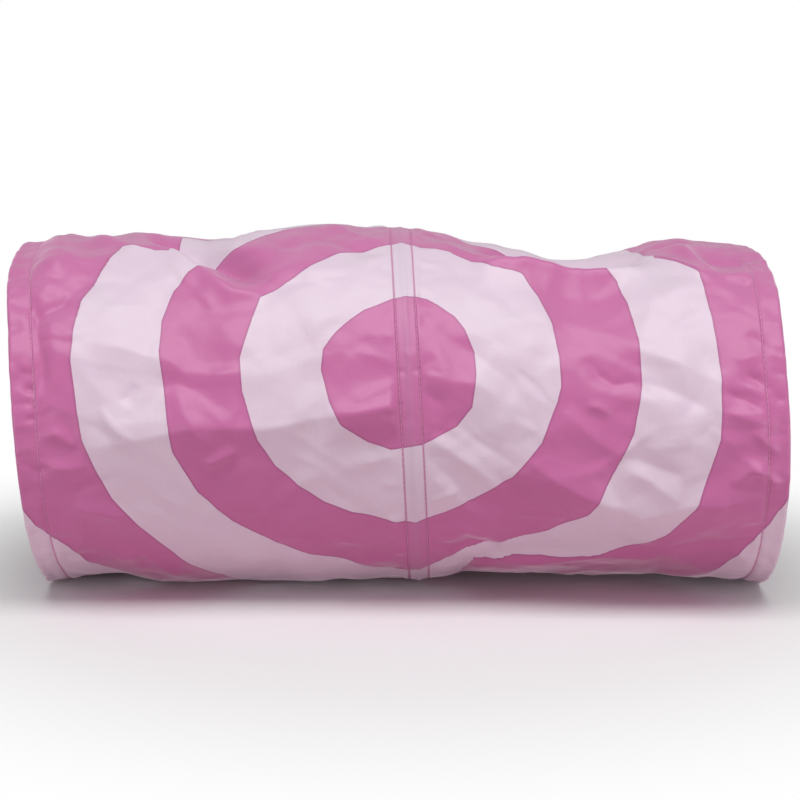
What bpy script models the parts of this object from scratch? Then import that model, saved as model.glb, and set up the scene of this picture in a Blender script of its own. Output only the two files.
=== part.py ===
"""A collapsible cat tunnel: a cloth tube held open by three spring-steel hoops.

Frame: +X runs along the tunnel, -Y is the front, +Z is up, and the origin is on the
floor under the middle hoop. All sizes are in metres.

The wall has three layers, from outside to inside: the shell cloth, a crinkle film and
a lining. Each mouth ends in a hem folded around its hoop, and the middle hoop lies in
a channel between a band of outer cloth and a casing tape. The cloth halves fold up
when a mouth is pushed towards the middle.
"""

import math
from typing import NamedTuple

import bmesh
import bpy
from mathutils import Matrix, Vector

# Overall sizes
TUNNEL_LENGTH = 0.500
TUNNEL_DIAMETER = 0.250
FOOT_HALF_WIDTH = 0.018

# Layers of the wall
CLOTH_THICKNESS = 0.0004
FILM_THICKNESS = 0.0001
CLEARANCE = 0.0003

# Hems, middle band and seams
HEM_WIDTH = 0.014
HEM_SEAM_ALLOWANCE = 0.004
BAND_WIDTH = 0.0124
TAPE_FLANGE = 0.001
FILM_TUCK = 0.0008
THREAD_WIDTH = 0.0004
SEAM_TAPE_WIDTH = 0.012

# Hoops
WIRE_DIAMETER = 0.002
WIRE_END_GAP = 0.001
FERRULE_LENGTH = 0.014
FERRULE_WALL = 0.0003

# How far the slack cloth sags on top of each half, and how far round it does
LEFT_SAG = 0.008
RIGHT_SAG = 0.021
SAG_SPREAD = math.radians(85)


class Fold(NamedTuple):
    """A main fold of the slack cloth: a ridge, or a hollow where its height is negative.

    It lies along the tunnel at x and round it at an angle up from the front, in degrees,
    and dies away over its two reaches.
    """

    x: float
    x_reach: float
    angle: float
    angle_reach: float
    height: float


# The main folds of each half
LEFT_FOLDS = (
    Fold(x=-0.145, x_reach=0.070, angle=77, angle_reach=22, height=-0.010),
    Fold(x=-0.122, x_reach=0.060, angle=50, angle_reach=16, height=0.005),
    Fold(x=-0.130, x_reach=0.105, angle=0, angle_reach=20, height=0.0015),
)
RIGHT_FOLDS = (
    Fold(x=0.118, x_reach=0.090, angle=86, angle_reach=24, height=-0.009),
    Fold(x=0.095, x_reach=0.080, angle=62, angle_reach=16, height=0.009),
    Fold(x=0.130, x_reach=0.055, angle=42, angle_reach=16, height=-0.005),
    Fold(x=0.145, x_reach=0.090, angle=-15, angle_reach=20, height=0.0035),
    Fold(x=0.121, x_reach=0.113, angle=-90, angle_reach=60, height=-0.006),
)

# Fineness of the meshes
RING_FACETS = 48
SHELL_STATIONS = 9
WIRE_BEVEL_RESOLUTION = 2
FERRULE_FACETS = 16
THREAD_FACETS = 4

# Worked out from the sizes above. An inset is a depth below the tunnel's outer surface.
RADIUS = TUNNEL_DIAMETER / 2
HALF_LENGTH = TUNNEL_LENGTH / 2
HALF_STEP = math.pi / RING_FACETS
FOOT_ANGLE = math.asin(FOOT_HALF_WIDTH / RADIUS)
AXIS_HEIGHT = RADIUS * math.cos(FOOT_ANGLE)

SEAM_DEPTH = max(CLOTH_THICKNESS, THREAD_WIDTH)
FILM_INSET = SEAM_DEPTH + CLEARANCE
LINING_INSET = FILM_INSET + FILM_THICKNESS + CLEARANCE
SEAM_TAPE_INSET = LINING_INSET + CLOTH_THICKNESS + CLEARANCE

WIRE_RADIUS = WIRE_DIAMETER / 2
FERRULE_BORE_RADIUS = WIRE_RADIUS + CLEARANCE
FERRULE_RADIUS = FERRULE_BORE_RADIUS + FERRULE_WALL
CHANNEL_HALF_WIDTH = FERRULE_RADIUS + CLEARANCE
HOOP_INSET = CLOTH_THICKNESS + CHANNEL_HALF_WIDTH
CHANNEL_FLOOR_INSET = HOOP_INSET + CHANNEL_HALF_WIDTH

HEM_EDGE_X = HALF_LENGTH - HEM_WIDTH
END_HOOP_X = HALF_LENGTH - CLOTH_THICKNESS - CHANNEL_HALF_WIDTH
BAND_EDGE_X = BAND_WIDTH / 2
THREAD_SLOT = THREAD_WIDTH + 2 * CLEARANCE
SHELL_INNER_X = BAND_EDGE_X + THREAD_SLOT
SHELL_OUTER_X = HEM_EDGE_X - THREAD_SLOT

LEFT, RIGHT = -1, 1
SIDE_NAMES = {LEFT: "left", RIGHT: "right"}
SIDE_SAGS = {LEFT: LEFT_SAG, RIGHT: RIGHT_SAG}
SIDE_FOLDS = {LEFT: LEFT_FOLDS, RIGHT: RIGHT_FOLDS}


def clear_scene():
    """Remove every object, so that the script can run again in an open file."""
    for old_object in list(bpy.data.objects):
        bpy.data.objects.remove(old_object, do_unlink=True)


def make_material(name, colour, roughness, metallic=0.0, alpha=1.0):
    """A Principled material of one colour, given as red, green and blue from 0 to 1."""
    material = bpy.data.materials.new(name)
    material.use_nodes = True
    shader = material.node_tree.nodes["Principled BSDF"]
    shader.inputs["Base Color"].default_value = (*colour, 1.0)
    shader.inputs["Roughness"].default_value = roughness
    shader.inputs["Metallic"].default_value = metallic
    shader.inputs["Alpha"].default_value = alpha
    return material


def standing_angle(angle):
    """Spread evenly spaced corners so that the lowest facet becomes the flat foot.

    Both angles are measured from straight down, and are negative towards the front.
    """
    share = (abs(angle) - HALF_STEP) / (math.pi - HALF_STEP)
    return math.copysign(FOOT_ANGLE + share * (math.pi - FOOT_ANGLE), angle)


def sag_depth(x, angle):
    """How far the slack cloth hangs down at a place on a shell's wall."""
    share = (abs(x) - SHELL_INNER_X) / (SHELL_OUTER_X - SHELL_INNER_X)
    from_top = math.pi - abs(angle)
    if not 0.0 < share < 1.0 or from_top >= SAG_SPREAD:
        return 0.0
    sag = SIDE_SAGS[RIGHT if x > 0 else LEFT]
    along = math.sin(math.pi * share) ** 2
    around = math.cos(math.pi / 2 * from_top / SAG_SPREAD) ** 2
    return sag * along * around


def fold_height(x, angle):
    """How far the folds of a shell's wall stand out from it at a place."""
    if not SHELL_INNER_X < abs(x) < SHELL_OUTER_X:
        return 0.0
    height = 0.0
    for fold in SIDE_FOLDS[RIGHT if x > 0 else LEFT]:
        fold_angle = math.radians(-90 - fold.angle)
        along = abs(x - fold.x) / fold.x_reach
        around = abs(signed(angle - fold_angle)) / math.radians(fold.angle_reach)
        if along < 1.0 and around < 1.0:
            shape = math.cos(math.pi / 2 * along) * math.cos(math.pi / 2 * around)
            height += fold.height * shape**2
    return height


def wall_point(x, inset, angle):
    """The point of the standing tunnel at a distance along it, a depth and an angle."""
    turned = standing_angle(angle)
    radius = RADIUS - inset + fold_height(x, turned)
    height = AXIS_HEIGHT - radius * math.cos(turned) - sag_depth(x, turned)
    return Vector((x, radius * math.sin(turned), height))


def corner_angles():
    """Angles of a ring's corners before the foot is flattened, once around."""
    return [HALF_STEP + 2 * HALF_STEP * step for step in range(RING_FACETS)]


def signed(angle):
    """The same direction as an angle between minus and plus half a turn."""
    return math.remainder(angle, 2 * math.pi)


def link(collection, new_object, material):
    """Give an object its material and put it in the tunnel's collection."""
    new_object.data.materials.clear()
    new_object.data.materials.append(material)
    collection.objects.link(new_object)
    return new_object


def face_outwards(mesh):
    """Merge the seam of a turned mesh and point all its faces out of the solid."""
    work = bmesh.new()
    work.from_mesh(mesh)
    bmesh.ops.remove_doubles(work, verts=work.verts, dist=0.00001)
    bmesh.ops.recalc_face_normals(work, faces=work.faces)
    work.to_mesh(mesh)
    work.free()


def turned_mesh(name, profile, facets, start_angle):
    """Turn a closed profile of (x, radius) points about the X axis, as a mesh.

    The profile starts at start_angle from straight down.
    """
    outline = bpy.data.meshes.new(name)
    corners = [
        (x, radius * math.sin(start_angle), -radius * math.cos(start_angle))
        for x, radius in profile
    ]
    edges = [(index, (index + 1) % len(corners)) for index in range(len(corners))]
    outline.from_pydata(corners, edges, [])
    turned = bpy.data.objects.new(name, outline)
    bpy.context.scene.collection.objects.link(turned)
    screw = turned.modifiers.new("Turn", "SCREW")
    screw.axis = "X"
    screw.angle = 2 * math.pi
    screw.steps = facets
    screw.render_steps = facets
    screw.use_merge_vertices = True
    screw.merge_threshold = 0.00001
    bpy.context.view_layer.update()
    evaluated = turned.evaluated_get(bpy.context.evaluated_depsgraph_get())
    mesh = bpy.data.meshes.new_from_object(evaluated)
    bpy.data.objects.remove(turned, do_unlink=True)
    bpy.data.meshes.remove(outline)
    mesh.name = name
    face_outwards(mesh)
    return mesh


def split_alike(mesh):
    """Cut the wall's four-sided faces along the same diagonals on every layer."""
    work = bmesh.new()
    work.from_mesh(mesh)
    for face in list(work.faces):
        centre = face.calc_center_median()
        middle = math.atan2(centre.y, -centre.z)
        low, high = None, None
        for corner in face.verts:
            along = corner.co.x - centre.x
            around = signed(math.atan2(corner.co.y, -corner.co.z) - middle)
            if along < -CLEARANCE and around < 0:
                low = corner
            if along > CLEARANCE and around > 0:
                high = corner
        if low and high:
            bmesh.utils.face_split(face, low, high)
    work.to_mesh(mesh)
    work.free()


def cloth_ring(collection, name, profile, material):
    """A ring of the tunnel's wall, turned from a closed profile of (x, inset) points."""
    round_profile = [(x, RADIUS - inset) for x, inset in profile]
    mesh = turned_mesh(name, round_profile, RING_FACETS, HALF_STEP)
    split_alike(mesh)
    for vertex in mesh.vertices:
        x, y, z = vertex.co
        vertex.co = wall_point(x, RADIUS - math.hypot(y, z), math.atan2(y, -z))
    mesh.shade_smooth()
    mesh.set_sharp_from_angle(angle=math.radians(30))
    ring = bpy.data.objects.new(name, mesh)
    ring.modifiers.new("Facets", "TRIANGULATE")
    return link(collection, ring, material)


def strip_profile(stations, inset, thickness):
    """The section of a thin layer that runs along the tunnel through some stations."""
    outer = [(x, inset) for x in stations]
    inner = [(x, inset + thickness) for x in reversed(stations)]
    return outer + inner


def shell_stations(side, first_x, last_x):
    """Places along one half's wall; all its layers share the ones between the ends."""
    step = (SHELL_OUTER_X - SHELL_INNER_X) / (SHELL_STATIONS - 1)
    inner = [SHELL_INNER_X + step * index for index in range(1, SHELL_STATIONS - 1)]
    return [side * x for x in [first_x, *inner, last_x]]


def add_shell(collection, side, material):
    """The outer cloth of one half, between its two rows of stitching."""
    stations = shell_stations(side, SHELL_INNER_X, SHELL_OUTER_X)
    profile = strip_profile(stations, 0.0, CLOTH_THICKNESS)
    return cloth_ring(collection, f"{SIDE_NAMES[side]}_shell", profile, material)


def add_crinkle_film(collection, side, material):
    """The film under the outer cloth, caught in the middle seam and in the hem's seam."""
    stations = shell_stations(side, BAND_EDGE_X - FILM_TUCK, HEM_EDGE_X + FILM_TUCK)
    profile = strip_profile(stations, FILM_INSET, FILM_THICKNESS)
    return cloth_ring(collection, f"{SIDE_NAMES[side]}_crinkle_film", profile, material)


def add_lining(collection, side, material):
    """The inner cloth of one half, which meets the casing tape and the hem."""
    stations = shell_stations(side, BAND_EDGE_X + CLEARANCE, HEM_EDGE_X - CLEARANCE)
    profile = strip_profile(stations, LINING_INSET, CLOTH_THICKNESS)
    return cloth_ring(collection, f"{SIDE_NAMES[side]}_lining", profile, material)


def add_seam_tape(collection, side, material):
    """The tape inside the lengthwise seam, flat on the lining's facet that faces back."""
    rear_facet = RING_FACETS // 4
    lower = standing_angle(HALF_STEP * (2 * rear_facet - 1))
    upper = standing_angle(HALF_STEP * (2 * rear_facet + 1))
    middle = (lower + upper) / 2
    turn = upper - lower
    lining_reach = (RADIUS - SEAM_TAPE_INSET) * math.cos(turn / 2)
    next_facet_reach = (lining_reach - SEAM_TAPE_WIDTH / 2 * math.sin(turn)) / math.cos(turn)
    face_distance = min(lining_reach, next_facet_reach)
    centre_distance = face_distance - CLOTH_THICKNESS / 2
    length = HEM_EDGE_X - BAND_EDGE_X - 2 * CLEARANCE
    size = Matrix.Diagonal((length, SEAM_TAPE_WIDTH, CLOTH_THICKNESS, 1.0))
    name = f"{SIDE_NAMES[side]}_seam_tape"
    mesh = bpy.data.meshes.new(name)
    work = bmesh.new()
    bmesh.ops.create_cube(work, size=1.0, matrix=size)
    work.to_mesh(mesh)
    work.free()
    tape = bpy.data.objects.new(name, mesh)
    tape.rotation_euler = (middle, 0.0, 0.0)
    tape.location = (
        side * (HEM_EDGE_X + BAND_EDGE_X) / 2,
        centre_distance * math.sin(middle),
        AXIS_HEIGHT - centre_distance * math.cos(middle),
    )
    return link(collection, tape, material)


def add_hem(collection, side, material):
    """The mouth's hem: the cloth folded around the end hoop, open towards the seam."""
    end = HALF_LENGTH
    fold = HALF_LENGTH - CLOTH_THICKNESS
    channel = fold - 2 * CHANNEL_HALF_WIDTH
    flange = HEM_EDGE_X + HEM_SEAM_ALLOWANCE
    deep = CHANNEL_FLOOR_INSET
    half_profile = [
        (HEM_EDGE_X, 0.0),
        (fold, 0.0),
        (end, CLOTH_THICKNESS),
        (end, deep),
        (fold, deep + CLOTH_THICKNESS),
        (channel, deep + CLOTH_THICKNESS),
        (flange, LINING_INSET + CLOTH_THICKNESS),
        (HEM_EDGE_X, LINING_INSET + CLOTH_THICKNESS),
        (HEM_EDGE_X, LINING_INSET),
        (flange, LINING_INSET),
        (channel, deep),
        (fold, deep),
        (fold, CLOTH_THICKNESS),
        (HEM_EDGE_X, CLOTH_THICKNESS),
    ]
    profile = [(side * x, inset) for x, inset in half_profile]
    return cloth_ring(collection, f"{SIDE_NAMES[side]}_hem", profile, material)


def add_middle_band(collection, material):
    """The strip of outer cloth over the middle hoop."""
    profile = strip_profile([-BAND_EDGE_X, BAND_EDGE_X], 0.0, CLOTH_THICKNESS)
    return cloth_ring(collection, "middle_band", profile, material)


def add_casing_tape(collection, material):
    """The tape inside, which closes the middle hoop's channel from below."""
    half_top = [
        (BAND_EDGE_X, LINING_INSET),
        (BAND_EDGE_X - TAPE_FLANGE, LINING_INSET),
        (CHANNEL_HALF_WIDTH, CHANNEL_FLOOR_INSET),
    ]
    top = half_top + [(-x, inset) for x, inset in reversed(half_top)]
    bottom = [(x, inset + CLOTH_THICKNESS) for x, inset in reversed(top)]
    return cloth_ring(collection, "middle_casing_tape", top + bottom, material)


def add_stitching(collection, name, x, material):
    """One row of thread around the tunnel, sunk between the cloths on both sides of it."""
    corner = math.pi / THREAD_FACETS
    reach = THREAD_WIDTH / 2 / math.cos(corner)
    turns = [corner * (2 * index + 1) for index in range(THREAD_FACETS)]
    profile = [
        (x + reach * math.cos(turn), SEAM_DEPTH / 2 + reach * math.sin(turn))
        for turn in turns
    ]
    return cloth_ring(collection, name, profile, material)


def add_hoop(collection, name, x, material):
    """A spring-steel wire bent into a ring, whose two ends face each other at the foot."""
    start = wall_point(x, HOOP_INSET, HALF_STEP)
    half_gap = WIRE_END_GAP / 2
    corners = [wall_point(x, HOOP_INSET, signed(angle)) for angle in corner_angles()]
    points = [Vector((x, half_gap, start.z)), *corners, Vector((x, -half_gap, start.z))]
    curve = bpy.data.curves.new(name, "CURVE")
    curve.dimensions = "3D"
    curve.twist_mode = "MINIMUM"
    curve.bevel_depth = WIRE_RADIUS
    curve.bevel_resolution = WIRE_BEVEL_RESOLUTION
    curve.use_fill_caps = True
    spline = curve.splines.new("POLY")
    spline.points.add(len(points) - 1)
    for spline_point, point in zip(spline.points, points):
        spline_point.co = (*point, 1.0)
    return link(collection, bpy.data.objects.new(name, curve), material)


def add_ferrule(collection, name, x, material):
    """The crimped sleeve over the wire's two ends, lying across the foot."""
    half = FERRULE_LENGTH / 2
    profile = [
        (-half, FERRULE_RADIUS),
        (half, FERRULE_RADIUS),
        (half, FERRULE_BORE_RADIUS),
        (-half, FERRULE_BORE_RADIUS),
    ]
    mesh = turned_mesh(name, profile, FERRULE_FACETS, 0.0)
    mesh.shade_smooth()
    mesh.set_sharp_from_angle(angle=math.radians(30))
    ferrule = bpy.data.objects.new(name, mesh)
    ferrule.rotation_euler = (0.0, 0.0, math.pi / 2)
    ferrule.location = (x, 0.0, wall_point(x, HOOP_INSET, HALF_STEP).z)
    return link(collection, ferrule, material)


def add_middle(collection, materials):
    """The middle hoop in its channel, with the band, the tape and two rows of thread."""
    add_hoop(collection, "middle_hoop", 0.0, materials["steel"])
    add_ferrule(collection, "middle_hoop_ferrule", 0.0, materials["ferrule"])
    add_middle_band(collection, materials["pink"])
    add_casing_tape(collection, materials["pale"])
    thread_x = BAND_EDGE_X + THREAD_SLOT / 2
    for side, side_name in SIDE_NAMES.items():
        name = f"middle_stitching_{side_name}"
        add_stitching(collection, name, side * thread_x, materials["thread"])


def add_half(collection, side, materials):
    """One half of the tunnel: its three layers and seam tape, its hem and its hoop."""
    side_name = SIDE_NAMES[side]
    add_shell(collection, side, materials["pink"])
    add_crinkle_film(collection, side, materials["film"])
    add_lining(collection, side, materials["pale"])
    add_seam_tape(collection, side, materials["pale"])
    add_hem(collection, side, materials["pink"])
    add_hoop(collection, f"{side_name}_hoop", side * END_HOOP_X, materials["steel"])
    add_ferrule(collection, f"{side_name}_hoop_ferrule", side * END_HOOP_X, materials["ferrule"])
    thread_x = HEM_EDGE_X - THREAD_SLOT / 2
    add_stitching(collection, f"{side_name}_hem_stitching", side * thread_x, materials["thread"])


def build():
    """Model the whole tunnel in one collection."""
    clear_scene()
    collection = bpy.data.collections.new("Cat tunnel")
    bpy.context.scene.collection.children.link(collection)
    materials = {
        "pink": make_material("Pink taffeta", (0.50, 0.17, 0.36), 0.45),
        "pale": make_material("Pale lilac taffeta", (0.72, 0.57, 0.67), 0.45),
        "film": make_material("Crinkle film", (0.80, 0.80, 0.82), 0.15, alpha=0.6),
        "steel": make_material("Spring steel", (0.42, 0.43, 0.45), 0.30, metallic=1.0),
        "ferrule": make_material("Crimped sleeve", (0.60, 0.60, 0.62), 0.35, metallic=1.0),
        "thread": make_material("Pink thread", (0.55, 0.22, 0.40), 0.70),
    }
    add_middle(collection, materials)
    for side in (LEFT, RIGHT):
        add_half(collection, side, materials)


build()
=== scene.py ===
"""Looks of a collapsible crinkle-cloth cat tunnel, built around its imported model."""
import logging
import math
from dataclasses import dataclass, field
from enum import Enum
from typing import ClassVar

import bmesh
import bpy
import numpy as np
from bpy.types import Material, Node, NodeSocket, NodeTree, Object
from mathutils import Matrix, Vector
from mathutils.geometry import delaunay_2d_cdt


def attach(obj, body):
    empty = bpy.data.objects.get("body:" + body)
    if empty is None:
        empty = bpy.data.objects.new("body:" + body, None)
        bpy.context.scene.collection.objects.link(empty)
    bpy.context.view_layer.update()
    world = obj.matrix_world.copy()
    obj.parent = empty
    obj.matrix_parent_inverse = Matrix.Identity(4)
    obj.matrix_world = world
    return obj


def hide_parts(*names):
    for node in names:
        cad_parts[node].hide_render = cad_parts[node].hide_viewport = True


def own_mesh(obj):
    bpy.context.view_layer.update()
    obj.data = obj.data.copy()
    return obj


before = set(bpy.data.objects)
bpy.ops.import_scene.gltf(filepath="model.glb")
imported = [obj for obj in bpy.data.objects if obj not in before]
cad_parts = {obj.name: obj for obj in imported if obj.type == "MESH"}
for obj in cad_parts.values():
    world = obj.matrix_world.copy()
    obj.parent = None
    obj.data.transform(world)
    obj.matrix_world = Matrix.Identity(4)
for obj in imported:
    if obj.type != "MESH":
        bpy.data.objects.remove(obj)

LOG = logging.getLogger("cat_tunnel")
CLOTH_MAP = "cloth_plane"
MM = 0.001
TURN = 2 * math.pi
# stations, which are distances from the middle hoop, of a half's two stitched edges
PANEL_START = 7.2 * MM
PANEL_END = 235.0 * MM
# an end hoop's station, and the depth of every hoop under the outer cloth, in millimetres
HOOP_MM = 247.7
HOOP_DEPTH_MM = 2.3
RING_WIDTH = 55 * MM
# thicker than real taffeta, so that the cloth stays solid
CLOTH_THICKNESS = 0.4 * MM
# how much closer the mesh columns lie at the creased front than at the back
FRONT_DENSITY = 0.5

CAMERA_ELEVATION = math.radians(10.0)
CAMERA_DISTANCE = 1.375
CAMERA_X = -0.0035

MATH = "ShaderNodeMath"
MIX = "ShaderNodeMix"
NOISE = "ShaderNodeTexNoise"
BUMP = "ShaderNodeBump"

# the corners of a grid's square, as steps down and along, in the two orders that the meshes use
DOWN_FIRST = ((0, 0), (1, 0), (1, 1), (0, 1))
ALONG_FIRST = ((0, 0), (0, 1), (1, 1), (1, 0))


class Side(Enum):
    """The two halves of the tunnel, with the sign of their x."""

    LEFT = -1
    RIGHT = 1

    @property
    def word(self) -> str:
        """The side's name as it stands in node and joint names."""
        return self.name.lower()


def srgb(code: str) -> tuple[float, float, float, float]:
    """Turns an sRGB hex colour into linear RGBA.

    Args:
        code: Six hex digits with a leading hash.

    Returns:
        Red, green, blue and alpha, linear, from 0 to 1.
    """
    parts = [int(code[i:i + 2], 16) / 255 for i in (1, 3, 5)]
    linear = [c / 12.92 if c <= 0.04045 else ((c + 0.055) / 1.055) ** 2.4 for c in parts]
    return (*linear, 1.0)


def smooth_step(t: np.ndarray) -> np.ndarray:
    """Rises smoothly from 0 at t = 0 to 1 at t = 1."""
    t = np.clip(t, 0.0, 1.0)
    return t * t * (3 - 2 * t)


def numbers_between(places: np.ndarray, low: float, high: float) -> np.ndarray:
    """Gives the numbers of the places that lie between two bounds."""
    return np.where((places >= low) & (places <= high))[0]


def read_grid(grid: np.ndarray, row: np.ndarray, angle: np.ndarray) -> np.ndarray:
    """Reads a grid of numbers or moves, whose columns go once round the tunnel.

    Args:
        grid: The grid, with its first column half a turn before the front.
        row: Where to read between its first and last rows, in rows.
        angle: Where to read round the tunnel, in radians.

    Returns:
        The values there.
    """
    wide = grid.shape[1]
    column = ((angle + math.pi) / TURN * wide) % wide
    r, c = np.floor(row).astype(int), np.floor(column).astype(int)
    down, along = row - r, column - c
    if grid.ndim == 3:
        down, along = down[..., None], along[..., None]
    c, n = c % wide, (c + 1) % wide
    near = grid[r, c] * (1 - along) + grid[r, n] * along
    far = grid[r + 1, c] * (1 - along) + grid[r + 1, n] * along
    return near * (1 - down) + far * down


@dataclass(frozen=True)
class HoopStance:
    """How one hoop stands: moved along the tunnel, tilted and bent, in metres.

    The bow bends its top and bottom the same way, and the knee pulls its front shoulder out.
    """

    shift: float
    tilt: float
    bow: float = 0.0
    knee: float = 0.0
    shoulder: float = math.radians(66)
    knee_spread: float = 0.12

    def offset(self, angle: np.ndarray) -> np.ndarray:
        """Gives how far along x the hoop lies from its plane.

        Args:
            angle: Angles round the hoop in radians.

        Returns:
            Distances in metres.
        """
        height = np.sin(angle - CAMERA_ELEVATION)
        knee = self.knee * np.exp((np.cos(angle - self.shoulder) - 1) / self.knee_spread)
        return self.shift + self.tilt * height + self.bow * height * height + knee


@dataclass(frozen=True)
class StandingForm:
    """The shape of the cloth tube before its creases.

    A place on it is a station along the tunnel and an angle, which is 0 at the front, at
    mid-height, and grows upwards. Each outline is a row of (station, depth) pairs in mm.
    """

    radius: float = 0.125
    axis_height: float = 0.1237
    half_length: float = 0.250
    rest_height: float = 0.0002
    middle: HoopStance = HoopStance(0.0035, -0.0074)
    left: HoopStance = HoopStance(-0.0048, -0.0077, -0.0032, -0.0050)
    right: HoopStance = HoopStance(-0.0015, -0.0064, -0.0025, 0.0060)
    # how fast the sag fades below the top, and the lift above the bottom
    sag_power: float = 1.6
    lift_power: float = 2
    # an inner layer on the floor stands this share of its depth over the outer one
    layer_share: float = 0.9
    # over what distance the cloth bends on to the floor, and an outline turns a corner
    floor_rounding: float = 0.0006
    rounding_mm: float = 5
    top_sag: tuple = (
        (-250, 11), (-238, 11), (-223, 3.5), (-211, 4.9), (-197, 5.5), (-184, 4.7), (-170, 4.6),
        (-156, 6.7), (-143, 6.7), (-129, 8.7), (-115, 6.5), (-102, 4.2), (-88, 2), (-74, 0.4), (-61, -1.1),
        (-47, -1.2), (-34, -0.6), (-19, -0.6), (0, -0.8), (21, 2.8), (37, 5.6), (52, 7.7), (66, 9.8),
        (85, 13.3), (96, 16.9), (110, 21.9), (125, 22.5), (140, 20.3), (154, 16.5), (169, 12.8), (183, 8.4),
        (199, 6.9), (213, 9), (227, 8.9), (242, 9.6), (250, 11),
    )
    bottom_lift: tuple = (
        (-250, 0), (-207, 6), (-178, 2.6), (-150, -1), (-78, 0), (-20, 1.5), (0, 0), (20, 3.6), (36, 7),
        (50, 7.5), (210, 7.5), (235, 4), (250, 0),
    )
    side_bulge: tuple = (
        (-250, 5.5), (-200, 2.5), (-125, 0.5), (-60, 0), (60, 0), (125, 0.5), (200, 2.5), (250, 5.5),
    )

    @property
    def girth(self) -> float:
        """The tube's girth in metres."""
        return TURN * self.radius

    def outline(self, pairs: tuple, station: np.ndarray) -> np.ndarray:
        """Reads an outline at given stations, with its corners rounded.

        Args:
            pairs: The outline's (station, depth) pairs in millimetres.
            station: Stations in metres.

        Returns:
            Depths in metres.
        """
        table = np.array(pairs, float) * MM
        total, weights = np.zeros_like(station), 0.0
        for share in np.linspace(-1, 1, 7):
            weight = 1.2 - abs(share)
            beside = station + share * self.rounding_mm * MM
            total = total + weight * np.interp(beside, table[:, 0], table[:, 1])
            weights += weight
        return total / weights

    def point(self, station: np.ndarray, angle: np.ndarray, out: np.ndarray) -> np.ndarray:
        """Gives places in the row frame.

        Args:
            station: Stations in metres.
            angle: Angles in radians.
            out: Distances outwards from the standing surface in metres.

        Returns:
            Points as an array with one more axis, of length 3.
        """
        share = np.clip(np.abs(station) / self.half_length, 0, 1)
        end = np.where(station < 0, self.left.offset(angle), self.right.offset(angle))
        x = station + (1 - share) * self.middle.offset(angle) + share * end
        wide = self.radius + self.outline(self.side_bulge, station) + out
        y = -wide * np.cos(angle)
        sag = self.outline(self.top_sag, station) * ((1 + np.sin(angle)) / 2) ** self.sag_power
        lift = self.outline(self.bottom_lift, station) * ((1 - np.sin(angle)) / 2) ** self.lift_power
        z = self.axis_height + (self.radius + out) * np.sin(angle) - sag + lift
        floor = self.rest_height + np.maximum(0, -out) * self.layer_share
        z = floor + np.logaddexp(0, (z - floor) / self.floor_rounding) * self.floor_rounding
        return np.stack(np.broadcast_arrays(x, y, z), -1)


@dataclass(frozen=True)
class Crease:
    """A fold in the cloth along a line of (station in mm, angle in degrees) points.

    A ridge has a height above 0 and a valley one below 0. The fold's flanks die away
    over its width, and its edge is rounded by its blunt radius, all in millimetres.
    """

    line: tuple
    height: float
    width: float
    blunt: float = 1.0


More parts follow.
